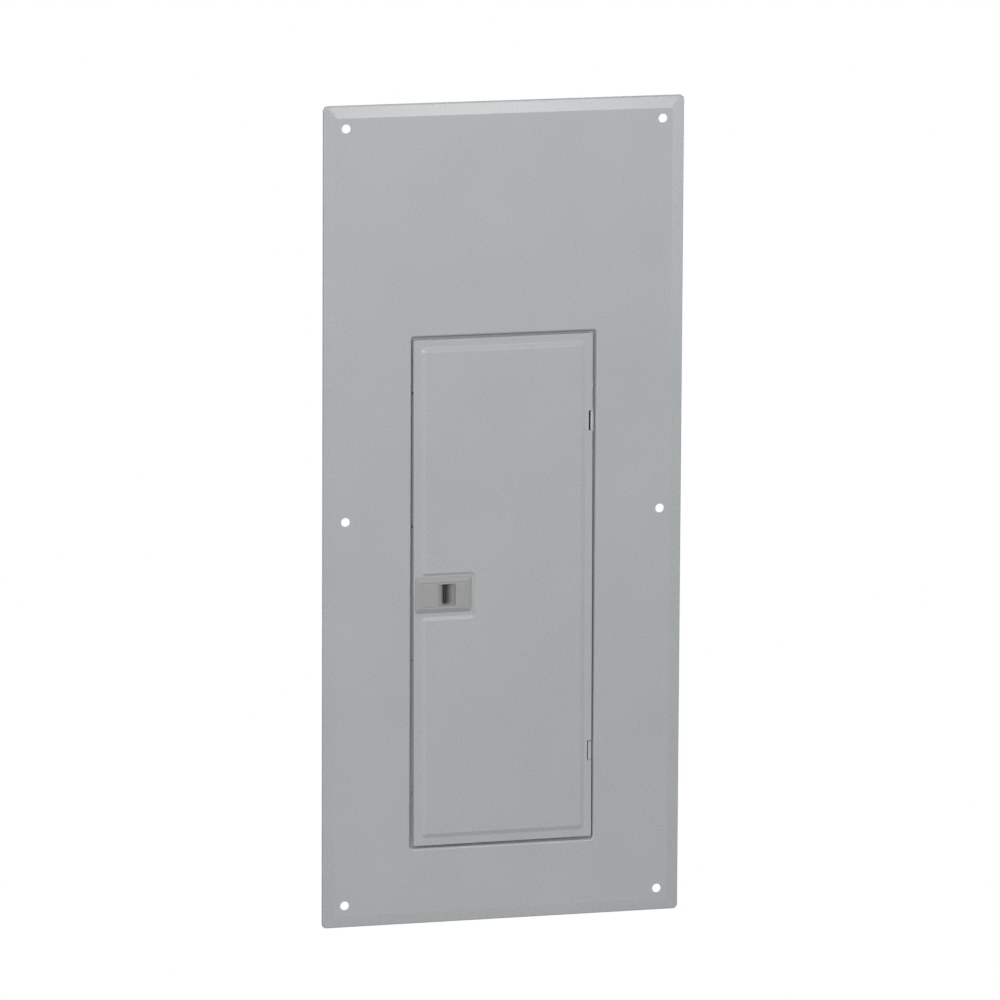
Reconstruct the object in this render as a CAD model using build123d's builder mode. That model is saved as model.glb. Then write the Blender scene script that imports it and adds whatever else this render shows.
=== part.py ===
from build123d import *
from math import atan2, cos, tan
import os

# Flush cover of a residential load center: a pressed steel cover panel with a hinged, embossed
# door, a sliding plastic latch and a riveted dead front that carries the breaker twist-outs.
#
# Millimetres. X runs to the right of somebody facing the cover, Z is up, and Y runs back into
# the wall. The origin is the centre of the four corner screw holes, on the cover's front face.
# "Depth" always means Y, measured back from the cover's front face.

# ---------------------------------------------------------------- cover panel
cover_width = 391.0
cover_height = 876.0
cover_sheet = 1.5
cover_corner_radius = 5.0
bevel_width = 13.0
bevel_drop = 2.3
bevel_corner_radius = 2.0
bevel_bend_radius = 6.0
rim_bend_radius = 1.8
rim_depth = 5.0

screw_hole_diameter = 9.5
screw_edge_distance = 24.0
middle_screw_height = -2.0

# ---------------------------------------------------------------- door and its recess
door_width = 195.0
door_height = 541.8
door_centre_height = -82.4
door_sheet = 1.2
door_corner_radius = 2.0
door_side_gap = 2.5
door_end_gap = 2.85
door_hang_angle = 0.2
recess_corner_radius = 3.0
recess_roll_radius = 3.0

field_inset = 8.2
field_slope = 4.7
field_height = 2.3
field_bend_radius = 1.8
field_corner_radius = 5.2
field_inside_radius = 2.4
field_notch_slope = 2.5
field_latch_side_margin = 0.85
field_latch_top_margin = 2.2
field_latch_bottom_margin = 4.7

knockout_diameter = 17.5
knockout_score_width = 0.4
knockout_score_depth = 0.15
knockout_rise = 39.7
knockout_shift = 6.6

# ---------------------------------------------------------------- hinges
hinge_end_distance = 93.2
hinge_axis_inset = 0.8
barrel_diameter = 4.8
barrel_length = 20.3
hinge_pin_diameter = 2.0
hinge_pin_head_diameter = 2.7
hinge_pin_head_height = 0.7
hinge_pin_head_clearance = 0.05
hinge_running_clearance = 0.05
hinge_end_clearance = 0.35
barrel_lift = 0.5
strap_edge_margin = 0.2
hinge_rivet_inset = 1.9
hinge_rivet_spacing = 12.0
notch_depth = 4.4
notch_end_clearance = 0.8
bracket_sheet = 1.0
bracket_ear_thickness = 1.2
bracket_ear_radius = 2.2
bracket_ear_depth = 1.4
bracket_ear_trim = 0.5
bracket_height = 37.0
bracket_web_width = 3.3
bracket_tab_width = 5.4

rivet_shank_diameter = 2.0
rivet_head_diameter = 2.6
hinge_rivet_head_height = 0.8

# ---------------------------------------------------------------- latch
latch_ledge_clearance = 1.7
bezel_width = 61.0
latch_drop = 1.6
bezel_height = 38.0
bezel_rise = 2.8
bezel_edge = 0.7
bezel_slope = 4.6
bezel_face_thickness = 1.8
groove_frame_width = 47.8
groove_frame_height = 26.4
groove_width = 0.4
groove_depth = 0.3
groove_bar_shift = 8.6
gate_mark_diameter = 6.6
gate_mark_shift = 18.4
gate_mark_depth = 0.12
window_side_margin = 0.2
window_end_margin = 0.3
window_shift = 3.0
body_width = 49.6
body_shift = 0.4
body_height = 29.0
body_depth = 14.0
body_wall = 1.6
body_hole_clearance = 0.5
snap_lug_width = 10.0
snap_lug_reach = 1.2
snap_lug_depth = 2.2
snap_lug_spacing = 24.0
latch_foot_reach = 5.6
latch_foot_height = 22.0
latch_rest_clearance = 0.3

slide_travel = 5.0
slide_clearance = 0.3
slide_depth = 10.5
slide_end_wall = 2.2
scoop_radius = 9.0
scoop_height = 22.4
bolt_height = 14.0
bolt_thickness = 2.0
bolt_ledge_clearance = 0.4
bolt_tip_clearance = 0.6
bolt_slot_clearance = 0.3
spring_wire_diameter = 0.6
spring_diameter = 6.0
spring_turns = 5
spring_peg_diameter = 3.6
spring_peg_length = 3.0
spring_seat_clearance = 0.3
back_cover_thickness = 1.2
back_cover_lip = 1.2
back_cover_fit = 0.1

# ---------------------------------------------------------------- dead front
pan_sheet = 1.2
pan_flange_reach = 1.0
pan_floor_depth = 20.0
pan_rivet_inset = 1.6
pan_rivet_head_height = 0.4
pan_rivet_clearance = 0.4
pan_hinge_clearance = 1.1
pan_rivet_rows = 4
pan_rivet_end_distance = 60.0

space_pitch = 19.05
space_gap = 0.6
twistout_width = 50.0
twistout_bridge = 0.4
twistout_bridge_height = 3.0
twistout_slot_width = 9.0
twistout_slot_height = 1.6
column_strip_margin = 2.0
column_bottom_margin = 19.65

main_twistout_width = 100.0
main_twistout_height = 66.0
main_twistout_rise = 42.0
main_twistout_top_margin = 25.0

number_strip_width = 8.0
number_strip_offset = 6.6
number_strip_thickness = 0.15

directory_width = 140.0
directory_height = 205.0
directory_thickness = 0.2
directory_top_margin = 5.5

# ---------------------------------------------------------------- places worked out from the sizes
screw_x = cover_width / 2 - screw_edge_distance
screw_z = cover_height / 2 - screw_edge_distance

recess_width = door_width + 2 * door_side_gap
recess_height = door_height + 2 * door_end_gap

# The recess is as deep as the hinge needs: the door's sheet, the pin's head and the barrel.
barrel_radius = barrel_diameter / 2
pin_radius = hinge_pin_diameter / 2
bore_radius = pin_radius + hinge_running_clearance
hinge_axis_depth = door_sheet + hinge_pin_head_diameter / 2 + hinge_pin_head_clearance
ledge_depth = hinge_axis_depth + barrel_radius + barrel_lift
ledge_back = ledge_depth + cover_sheet

# The ledge is as wide as what it carries: the dead front's rivets and wall, then the hinges'
# rivets and the edge of their straps.
rivet_head_radius = rivet_head_diameter / 2
pan_margin = pan_rivet_inset + rivet_head_radius + pan_rivet_clearance + pan_sheet
ledge_width = (
    pan_margin + pan_hinge_clearance + rivet_head_radius + hinge_rivet_inset + strap_edge_margin
)

hinge_x = door_width / 2 - hinge_axis_inset
hinge_rise = door_height / 2 - hinge_end_distance
hinge_heights = {
    "upper": door_centre_height + hinge_rise,
    "lower": door_centre_height - hinge_rise,
}
strap_sheet = barrel_radius - bore_radius
strap_right = hinge_x + barrel_radius
strap_left = recess_width / 2 - ledge_width + strap_edge_margin
hinge_rivet_x = strap_left + hinge_rivet_inset
ear_inner = barrel_length / 2 + hinge_end_clearance
ear_outer = ear_inner + bracket_ear_thickness
notch_half_height = barrel_length / 2 + notch_end_clearance
notch_left = door_width / 2 - notch_depth
bracket_left = notch_left - bracket_web_width

ledge_edge_x = -recess_width / 2 + ledge_width
body_left = ledge_edge_x + latch_ledge_clearance
body_right = body_left + body_width
latch_x = body_left + body_width / 2 - body_shift
latch_z = door_centre_height - latch_drop
bezel_front = -bezel_rise
cavity_left = body_left + body_wall
cavity_right = body_right - body_wall
cavity_front = bezel_front + bezel_face_thickness
cavity_width = body_width - 2 * body_wall
cavity_height = body_height - 2 * body_wall
window_x = latch_x + window_shift
window_width = 2 * (scoop_radius + window_side_margin)
window_height = scoop_height + 2 * window_end_margin
bolt_front = ledge_back + bolt_ledge_clearance
bolt_back = bolt_front + bolt_thickness
bolt_tip_x = ledge_edge_x + bolt_tip_clearance
slide_front = cavity_front + slide_clearance
slide_left = cavity_left + slide_clearance
slide_right = window_x + scoop_radius + slide_end_wall
slide_height = cavity_height - 2 * slide_clearance
spring_depth = (slide_front + slide_depth) / 2

field_back = door_sheet - field_height
directory_top = (
    door_centre_height + door_height / 2 - field_inset - field_slope - directory_top_margin
)

pan_back = pan_floor_depth + pan_sheet
pan_width = recess_width - 2 * pan_margin
pan_height = recess_height - 2 * pan_margin
pan_bottom = door_centre_height - pan_height / 2

# As many breaker spaces as fit under the main breaker, counted up from the bottom of the pan.
space_room = pan_height - column_bottom_margin - main_twistout_rise - main_twistout_height
space_rows = int((space_room - main_twistout_top_margin) / space_pitch)
column_height = space_rows * space_pitch
columns_top = pan_bottom + column_bottom_margin + column_height
columns_centre_height = columns_top - column_height / 2
column_offset = (
    number_strip_offset
    + number_strip_width / 2
    + column_strip_margin
    + twistout_bridge
    + twistout_width / 2
)
main_z = columns_top + main_twistout_rise + main_twistout_height / 2

hinge_rivet_places = [
    (hinge_rivet_x, height + side * hinge_rivet_spacing / 2)
    for height in hinge_heights.values()
    for side in (-1, 1)
]
pan_rivet_x = recess_width / 2 - pan_rivet_inset
pan_rivet_top = door_centre_height + recess_height / 2 - pan_rivet_end_distance
pan_rivet_pitch = (recess_height - 2 * pan_rivet_end_distance) / (pan_rivet_rows - 1)
pan_rivet_places = [
    (side * pan_rivet_x, pan_rivet_top - row * pan_rivet_pitch)
    for row in range(pan_rivet_rows)
    for side in (-1, 1)
]


# ---------------------------------------------------------------- shared shapes
# How near a corner, edge or face has to be to the place where it is looked for.
match = 0.1


def at_depth(depth):
    """Plane parallel to the wall at this depth, facing the room, with X right and Z up."""
    return Plane.XZ.offset(-depth)


def at_height(height):
    """Level plane at this height, with X right and depth away from the room."""
    return Plane.XY.offset(height)


def span(centre, size):
    """Lowest and highest value of a size set about its centre."""
    return centre - size / 2, centre + size / 2


def block(x_range, depth_range, z_range, mode=Mode.ADD):
    """Straight-sided block that fills these three ranges, in the part being built."""
    low = Vector(x_range[0], depth_range[0], z_range[0])
    high = Vector(x_range[1], depth_range[1], z_range[1])
    size = high - low
    with Locations((low + high) / 2):
        Box(size.X, size.Y, size.Z, mode=mode)


def cover_outline(depth, inset, corner_radius):
    """Face of the cover's outline at a depth, drawn in from the cover's edges by inset."""
    with BuildSketch(at_depth(depth)) as outline:
        RectangleRounded(cover_width - 2 * inset, cover_height - 2 * inset, corner_radius)
    return outline.sketch.face()


def field_outline(depth, inset, notch_inset):
    """Face of the door's raised field at a depth, drawn in from the foot of its slope by inset.

    The field steps round the latch, so the outline has a notch in its left side, and the
    steeper slope of the notch is drawn in by notch_inset.
    """
    width = door_width - 2 * (field_inset + inset)
    height = door_height - 2 * (field_inset + inset)
    notch_right = latch_x + bezel_width / 2 + field_latch_side_margin + notch_inset
    notch_top = latch_z + bezel_height / 2 + field_latch_top_margin + notch_inset
    notch_bottom = latch_z - bezel_height / 2 - field_latch_bottom_margin - notch_inset
    with BuildSketch(at_depth(depth)) as outline:
        with Locations((0, door_centre_height)):
            Rectangle(width, height)
        with Locations(((notch_right - width / 2) / 2, (notch_top + notch_bottom) / 2)):
            Rectangle(notch_right + width / 2, notch_top - notch_bottom, mode=Mode.SUBTRACT)
        inside_corners = outline.vertices().filter_by_position(
            Axis.X, notch_right - match, notch_right + match
        )
        fillet(inside_corners, field_inside_radius + notch_inset)
        outside_corners = [
            corner
            for corner in outline.vertices()
            if abs(abs(corner.X) - width / 2) < match
        ]
        fillet(outside_corners, field_corner_radius - inset)
    return outline.sketch.face()


def add_rivets(places, front, back, head_height):
    """Rivets that clamp everything between two depths, at (x, z) places."""
    for start, end, diameter in (
        (front - head_height, front, rivet_head_diameter),
        (front, back, rivet_shank_diameter),
        (back, back + head_height, rivet_head_diameter),
    ):
        with BuildSketch(at_depth(end)) as section:
            with Locations(*places):
                Circle(diameter / 2)
        extrude(section.sketch, amount=end - start)


def save(part, name):
    """Label a finished piece and write its STEP file."""
    part.label = name
    export_step(part, f"parts/{name}.step")


os.makedirs("parts", exist_ok=True)

# ---------------------------------------------------------------- cover panel
# A bevel falls away from the flat face to the rim, and the inner faces lie one sheet inside.
bevel_angle = atan2(bevel_drop, bevel_width)
inner_face_inset = bevel_width + cover_sheet * tan(bevel_angle / 2)
inner_rim_depth = bevel_drop + cover_sheet / cos(bevel_angle) - cover_sheet * tan(bevel_angle)
inner_corner_radius = cover_corner_radius - cover_sheet

with BuildPart() as cover_hollow:
    extrude(
        cover_outline(rim_depth, cover_sheet, inner_corner_radius),
        amount=rim_depth - inner_rim_depth,
    )
    loft(
        [
            cover_outline(inner_rim_depth, cover_sheet, inner_corner_radius),
            cover_outline(cover_sheet, inner_face_inset, bevel_corner_radius),
        ],
        ruled=True,
    )

with BuildPart() as cover_panel:
    extrude(cover_outline(rim_depth, 0, cover_corner_radius), amount=rim_depth - bevel_drop)
    loft(
        [
            cover_outline(bevel_drop, 0, cover_corner_radius),
            cover_outline(0, bevel_width, bevel_corner_radius),
        ],
        ruled=True,
    )
    fillet(cover_panel.faces().sort_by(Axis.Y)[0].edges(), bevel_bend_radius)
    rim_bend = cover_panel.edges().filter_by_position(
        Axis.Y, bevel_drop - match, bevel_drop + match
    )
    fillet(rim_bend, rim_bend_radius)
    add(cover_hollow.part, mode=Mode.SUBTRACT)
    # The door sits in a recess: a wall round the opening, with a ledge behind the door's edge.
    with BuildSketch(at_depth(ledge_back)):
        with Locations((0, door_centre_height)):
            RectangleRounded(
                recess_width + 2 * cover_sheet,
                recess_height + 2 * cover_sheet,
                recess_corner_radius + cover_sheet,
            )
    extrude(amount=ledge_back - cover_sheet)
    with BuildSketch(at_depth(ledge_depth)):
        with Locations((0, door_centre_height)):
            RectangleRounded(recess_width, recess_height, recess_corner_radius)
    extrude(amount=ledge_depth, mode=Mode.SUBTRACT)
    with BuildSketch(at_depth(ledge_back)):
        with Locations((0, door_centre_height)):
            Rectangle(recess_width - 2 * ledge_width, recess_height - 2 * ledge_width)
    extrude(amount=cover_sheet, mode=Mode.SUBTRACT)
    # The sheet rolls over from the face into the recess, at one thickness all the way round.
    roll = cover_panel.faces().sort_by(Axis.Y)[0].inner_wires()[0].edges()
    fillet(roll, recess_roll_radius)
    with BuildSketch(at_depth(cover_sheet)):
        with GridLocations(2 * screw_x, 2 * screw_z, 2, 2):
            Circle(screw_hole_diameter / 2)
        with Locations((-screw_x, middle_screw_height), (screw_x, middle_screw_height)):
            Circle(screw_hole_diameter / 2)
    extrude(amount=cover_sheet, mode=Mode.SUBTRACT)
    with BuildSketch(at_depth(ledge_back)):
        with Locations(*hinge_rivet_places, *pan_rivet_places):
            Circle(rivet_shank_diameter / 2)
    extrude(amount=cover_sheet, mode=Mode.SUBTRACT)
save(cover_panel.part, "cover_panel")

# ---------------------------------------------------------------- dead front
with BuildPart() as dead_front:
    with BuildSketch(at_depth(ledge_back + pan_sheet)):
        with Locations((0, door_centre_height)):
            Rectangle(
                recess_width + 2 * pan_flange_reach,
                recess_height + 2 * pan_flange_reach,
            )
            Rectangle(pan_width, pan_height, mode=Mode.SUBTRACT)
        with Locations(*pan_rivet_places):
            Circle(rivet_shank_diameter / 2, mode=Mode.SUBTRACT)
    extrude(amount=pan_sheet)
    with BuildSketch(at_depth(pan_back)):
        with Locations((0, door_centre_height)):
            Rectangle(pan_width + 2 * pan_sheet, pan_height + 2 * pan_sheet)
            Rectangle(pan_width, pan_height, mode=Mode.SUBTRACT)
    extrude(amount=pan_back - ledge_back)
    with BuildSketch(at_depth(pan_back)):
        with Locations((0, door_centre_height)):
            Rectangle(pan_width + pan_sheet, pan_height + pan_sheet)
        with Locations(
            (-column_offset, columns_centre_height),
            (column_offset, columns_centre_height),
        ):
            Rectangle(
                twistout_width + 2 * twistout_bridge, column_height, mode=Mode.SUBTRACT
            )
        with Locations((0, main_z)):
            Rectangle(
                main_twistout_width + 2 * twistout_bridge,
                main_twistout_height + 2 * twistout_bridge,
                mode=Mode.SUBTRACT,
            )
    extrude(amount=pan_sheet)
save(dead_front.part, "dead_front")


def draw_twistout(width, height):
    """Plate of a twist-out, with a bridge at each end to the dead front and a driver slot."""
    Rectangle(width, height)
    Rectangle(width + 2 * twistout_bridge, twistout_bridge_height)
    Rectangle(twistout_slot_width, twistout_slot_height, mode=Mode.SUBTRACT)


for row in range(space_rows):
    row_z = columns_top - (row + 0.5) * space_pitch
    with BuildPart() as twistout_row:
        for column_x in (-column_offset, column_offset):
            with BuildSketch(at_depth(pan_back)):
                with Locations((column_x, row_z)):
                    draw_twistout(twistout_width, space_pitch - space_gap)
        extrude(amount=pan_sheet)
    save(twistout_row.part, f"twistout_row_{row + 1:02d}")

with BuildPart() as main_breaker_twistout:
    with BuildSketch(at_depth(pan_back)):
        with Locations((0, main_z)):
            draw_twistout(main_twistout_width, main_twistout_height)
    extrude(amount=pan_sheet)
save(main_breaker_twistout.part, "main_breaker_twistout")

for side, name in ((-1, "number_strip_left"), (1, "number_strip_right")):
    with BuildPart() as number_strip:
        block(
            span(side * number_strip_offset, number_strip_width),
            (pan_floor_depth - number_strip_thickness, pan_floor_depth),
            span(columns_centre_height, column_height),
        )
    save(number_strip.part, name)

with BuildPart() as dead_front_rivets:
    add_rivets(pan_rivet_places, ledge_depth, ledge_back + pan_sheet, pan_rivet_head_height)
save(dead_front_rivets.part, "dead_front_rivets")

# ---------------------------------------------------------------- hinges
for name, hinge_z in hinge_heights.items():
    # Strap on the cover: a foot on the ledge, a tail up the recess wall and a rolled barrel.
    with BuildPart() as hinge_strap:
        with BuildSketch(at_height(hinge_z - barrel_length / 2)):
            with Locations((hinge_x, hinge_axis_depth)):
                Circle(barrel_radius)
            with Locations((strap_right - strap_sheet / 2, (hinge_axis_depth + ledge_depth) / 2)):
                Rectangle(strap_sheet, ledge_depth - hinge_axis_depth)
            with Locations(((strap_left + strap_right) / 2, ledge_depth - strap_sheet / 2)):
                Rectangle(strap_right - strap_left, strap_sheet)
            with Locations((hinge_x, hinge_axis_depth)):
                Circle(bore_radius, mode=Mode.SUBTRACT)
        extrude(amount=barrel_length)
        with BuildSketch(at_depth(ledge_depth)):
            with Locations(
                (hinge_rivet_x, hinge_z - hinge_rivet_spacing / 2),
                (hinge_rivet_x, hinge_z + hinge_rivet_spacing / 2),
            ):
                Circle(rivet_shank_diameter / 2)
        extrude(amount=strap_sheet, mode=Mode.SUBTRACT)
    save(hinge_strap.part, f"hinge_strap_{name}")

    with BuildPart() as hinge_pin:
        with BuildSketch(at_height(hinge_z - ear_outer - hinge_pin_head_height)):
            with Locations((hinge_x, hinge_axis_depth)):
                Circle(hinge_pin_head_diameter / 2)
        extrude(amount=hinge_pin_head_height)
        with BuildSketch(at_height(hinge_z - ear_outer)):
            with Locations((hinge_x, hinge_axis_depth)):
                Circle(pin_radius)
        extrude(amount=2 * ear_outer)
        with BuildSketch(at_height(hinge_z + ear_outer)):
            with Locations((hinge_x, hinge_axis_depth)):
                Circle(hinge_pin_head_diameter / 2)
        extrude(amount=hinge_pin_head_height)
    save(hinge_pin.part, f"hinge_pin_{name}")

    # Bracket welded to the back of the door: a web beside the notch, and an ear at each end
    # of the barrel that holds the pin.
    with BuildPart() as door_hinge_bracket:
        block(
            (bracket_left, notch_left),
            (door_sheet, door_sheet + bracket_sheet),
            span(hinge_z, bracket_height),
        )
        for side in (-1, 1):
            tab_centre = hinge_z + side * (ear_inner + bracket_height / 2) / 2
            block(
                (bracket_left, bracket_left + bracket_tab_width),
                (door_sheet, door_sheet + bracket_sheet),
                span(tab_centre, bracket_height / 2 - ear_inner),
            )
            ear_base = hinge_z + side * (ear_inner + ear_outer) / 2 - bracket_ear_thickness / 2
            with BuildSketch(at_height(ear_base)):
                with Locations((hinge_x, hinge_axis_depth)):
                    Circle(bracket_ear_radius)
                with Locations(
                    (
                        (bracket_left + hinge_x) / 2,
                        (door_sheet + hinge_axis_depth + bracket_ear_depth) / 2,
                    )
                ):
                    Rectangle(
                        hinge_x - bracket_left,
                        hinge_axis_depth + bracket_ear_depth - door_sheet,
                    )
                with Locations((hinge_x, door_sheet - bracket_ear_radius)):
                    Rectangle(
                        2 * (bracket_ear_radius + bracket_ear_trim),
                        2 * bracket_ear_radius,
                        mode=Mode.SUBTRACT,
                    )
                with Locations((hinge_x, hinge_axis_depth)):
                    Circle(pin_radius, mode=Mode.SUBTRACT)
            extrude(amount=bracket_ear_thickness)
    save(door_hinge_bracket.part, f"door_hinge_bracket_{name}")

with BuildPart() as hinge_rivets:
    add_rivets(hinge_rivet_places, ledge_depth - strap_sheet, ledge_back, hinge_rivet_head_height)
save(hinge_rivets.part, "hinge_rivets")

# ---------------------------------------------------------------- door
# The field is pressed forward from the flat rim; its back follows one sheet behind.
back_inset = door_sheet * tan(atan2(field_height, field_slope) / 2)
notch_back_inset = door_sheet * tan(atan2(field_height, field_notch_slope) / 2)

with BuildPart() as field_hollow:
    loft(
        [
            field_outline(door_sheet, back_inset, notch_back_inset),
            field_outline(
                field_back, field_slope + back_inset, field_notch_slope + notch_back_inset
            ),
        ],
        ruled=True,
    )

with BuildPart() as door_panel:
    with BuildSketch(at_depth(door_sheet)):
        with Locations((0, door_centre_height)):
            RectangleRounded(door_width, door_height, door_corner_radius)
    extrude(amount=door_sheet)
    foot = field_outline(0, 0, 0)
    loft([foot, field_outline(-field_height, field_slope, field_notch_slope)], ruled=True)
    crest = door_panel.faces().sort_by(Axis.Y)[0].outer_wire().edges()
    fillet(crest, field_bend_radius)
    rim = door_panel.faces().filter_by(Axis.Y).filter_by_position(Axis.Y, -match, match)[0]
    fillet(rim.inner_wires()[0].edges(), field_bend_radius)
    add(field_hollow.part, mode=Mode.SUBTRACT)
    block(
        (body_left - body_hole_clearance, body_right + body_hole_clearance),
        (0, door_sheet),
        span(latch_z, body_height + 2 * body_hole_clearance),
        mode=Mode.SUBTRACT,
    )
    for hinge_z in hinge_heights.values():
        block(
            (notch_left, door_width / 2),
            (0, door_sheet),
            span(hinge_z, 2 * notch_half_height),
            mode=Mode.SUBTRACT,
        )
    # Scored disc that is knocked out when a lock is fitted.
    with BuildSketch(at_depth(-field_height)):
        with Locations((latch_x - knockout_shift, latch_z + knockout_rise)):
            Circle(knockout_diameter / 2)
            Circle(knockout_diameter / 2 - knockout_score_width, mode=Mode.SUBTRACT)
    extrude(amount=-knockout_score_depth, mode=Mode.SUBTRACT)
# The door hangs slightly off square in its recess, turned anticlockwise as seen from the front.
door_square = Axis((0, 0, door_centre_height), (0, -1, 0))
save(door_panel.part.rotate(door_square, door_hang_angle), "door_panel")

with BuildPart() as directory_label:
    block(
        span(0, directory_width),
        (field_back, field_back + directory_thickness),
        (directory_top - directory_height, directory_top),
    )
save(directory_label.part, "directory_label")

# ---------------------------------------------------------------- latch
with BuildPart() as latch_housing:
    block(span(latch_x, bezel_width), (bezel_front, 0), span(latch_z, bezel_height))
    bezel_face = latch_housing.faces().sort_by(Axis.Y)[0]
    chamfer(
        bezel_face.edges(),
        length=bezel_slope,
        length2=bezel_rise - bezel_edge,
        reference=bezel_face,
    )
    block((body_left, body_right), (0, body_depth), span(latch_z, body_height))
    # The foot stops the door on the ledge when it shuts.
    block(
        (body_left - latch_foot_reach, body_left),
        (door_sheet, ledge_depth - latch_rest_clearance),
        span(latch_z, latch_foot_height),
    )
    for side in (-1, 1):
        lug_base = latch_z + side * body_height / 2
        for lug_x in span((body_left + body_right) / 2, snap_lug_spacing):
            with BuildSketch(Plane.YZ.offset(lug_x - snap_lug_width / 2)):
                Polygon(
                    (door_sheet + body_hole_clearance, lug_base),
                    (door_sheet + body_hole_clearance, lug_base + side * snap_lug_reach),
                    (door_sheet + body_hole_clearance + snap_lug_depth, lug_base),
                    align=None,
                )
            extrude(amount=snap_lug_width)
    block(
        (cavity_left, cavity_right),
        (cavity_front, body_depth),
        span(latch_z, cavity_height),
        mode=Mode.SUBTRACT,
    )
    block(
        span(window_x, window_width),
        (bezel_front, cavity_front),
        span(latch_z, window_height),
        mode=Mode.SUBTRACT,
    )
    block(
        (body_left, cavity_left),
        (bolt_front - bolt_slot_clearance, bolt_back + bolt_slot_clearance),
        span(latch_z, bolt_height + 2 * bolt_slot_clearance),
        mode=Mode.SUBTRACT,
    )
    with BuildSketch(at_depth(bezel_front)):
        with Locations((latch_x, latch_z)):
            Rectangle(groove_frame_width, groove_frame_height)
            Rectangle(
                groove_frame_width - 2 * groove_width,
                groove_frame_height - 2 * groove_width,
                mode=Mode.SUBTRACT,
            )
        with Locations((latch_x - groove_bar_shift, latch_z)):
            Rectangle(groove_width, groove_frame_height)
    extrude(amount=-groove_depth, mode=Mode.SUBTRACT)
    with BuildSketch(at_depth(bezel_front)):
        with Locations((latch_x + gate_mark_shift, latch_z)):
            Circle(gate_mark_diameter / 2)
    extrude(amount=-gate_mark_depth, mode=Mode.SUBTRACT)
save(latch_housing.part, "latch_housing")

with BuildPart() as latch_slide:
    block((slide_left, slide_right), (slide_front, slide_depth), span(latch_z, slide_height))
    with Locations((window_x, slide_front, latch_z)):
        Cylinder(scoop_radius, scoop_height, mode=Mode.SUBTRACT)
    block((bolt_tip_x, slide_left), (bolt_front, bolt_back), span(latch_z, bolt_height))
    with BuildSketch(Plane.YZ.offset(slide_right)):
        with Locations((spring_depth, latch_z)):
            Circle(spring_peg_diameter / 2)
    extrude(amount=spring_peg_length)
save(latch_slide.part, "latch_slide")

spring_wire_radius = spring_wire_diameter / 2
spring_coil_radius = (spring_diameter - spring_wire_diameter) / 2
spring_start = slide_right + spring_seat_clearance + spring_wire_radius
spring_end = cavity_right - spring_seat_clearance - spring_wire_radius
spring_length = spring_end - spring_start

with BuildPart() as latch_spring:
    with BuildLine() as coil:
        Helix(
            pitch=spring_length / spring_turns,
            height=spring_length,
            radius=spring_coil_radius,
            center=(spring_start, spring_depth, latch_z),
            direction=(1, 0, 0),
        )
    with BuildSketch(Plane(origin=coil.line @ 0, z_dir=coil.line % 0)):
        Circle(spring_wire_radius)
    sweep(path=coil.line, is_frenet=True)
save(latch_spring.part, "latch_spring")

with BuildPart() as latch_back_cover:
    block(
        (body_left, body_right),
        (body_depth, body_depth + back_cover_thickness),
        span(latch_z, body_height),
    )
    rim_width = cavity_width - 2 * back_cover_fit
    rim_height = cavity_height - 2 * back_cover_fit
    cavity_x = (cavity_left + cavity_right) / 2
    block(
        span(cavity_x, rim_width),
        (slide_depth + slide_clearance, body_depth),
        span(latch_z, rim_height),
    )
    block(
        span(cavity_x, rim_width - 2 * back_cover_lip),
        (slide_depth + slide_clearance, body_depth),
        span(latch_z, rim_height - 2 * back_cover_lip),
        mode=Mode.SUBTRACT,
    )
save(latch_back_cover.part, "latch_back_cover")
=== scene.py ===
"""Looks of a flush load center cover: pressed and enamelled steel, plated hinges, plastic latch.

Every size is in millimetres where it is written and becomes metres on the way into a mesh.
X runs to the right of somebody facing the cover, Z is up, and Y (called depth) runs back into
the wall. Zero depth is the cover's flat front face.
"""

from __future__ import annotations

import logging
import math
from collections.abc import Callable, Iterable, Mapping, Sequence
from dataclasses import dataclass, field
from enum import Enum

import bmesh
import bpy
from mathutils import Matrix, Vector


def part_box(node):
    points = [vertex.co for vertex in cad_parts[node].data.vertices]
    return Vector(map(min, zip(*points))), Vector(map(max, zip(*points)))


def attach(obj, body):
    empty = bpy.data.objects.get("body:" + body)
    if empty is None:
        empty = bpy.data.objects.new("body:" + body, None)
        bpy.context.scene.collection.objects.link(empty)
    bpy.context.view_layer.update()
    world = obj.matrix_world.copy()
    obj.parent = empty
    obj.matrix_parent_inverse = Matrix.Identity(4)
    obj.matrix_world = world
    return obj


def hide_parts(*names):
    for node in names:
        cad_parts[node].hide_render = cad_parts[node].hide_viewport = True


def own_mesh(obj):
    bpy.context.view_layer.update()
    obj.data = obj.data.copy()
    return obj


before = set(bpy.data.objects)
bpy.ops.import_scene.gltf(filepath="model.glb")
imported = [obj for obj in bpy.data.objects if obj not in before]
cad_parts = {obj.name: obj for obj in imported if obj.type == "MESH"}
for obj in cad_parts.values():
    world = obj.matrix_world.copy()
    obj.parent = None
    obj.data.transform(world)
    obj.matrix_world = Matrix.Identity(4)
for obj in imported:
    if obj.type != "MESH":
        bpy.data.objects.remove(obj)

MM = 0.001
MERGE_DISTANCE = 1e-6
PRINT_MERGE_DISTANCE = 1e-7
SHARP_EDGE = math.radians(32)
COPLANAR = math.radians(0.4)
SAME_LEVEL = 1e-6

# How far down and in, as a share of its radius, a small rounded edge has its middle point.
EASE = 0.3
# A noise's values nearly all lie between these.
NOISE_SPREAD = {"From Min": 0.3, "From Max": 0.7}
MATHS = "ShaderNodeMath"

Point = tuple[float, float]
Outline = list[Point]
Loop = list[bmesh.types.BMVert]
Tree = bpy.types.NodeTree
Node = bpy.types.Node
Socket = bpy.types.NodeSocket
Material = bpy.types.Material
Object = bpy.types.Object

log = logging.getLogger("load_center_cover")


class Body(str, Enum):
    """The part's moving bodies."""

    COVER = "cover"
    DOOR = "door"
    SLIDE = "latch_slide"


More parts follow.
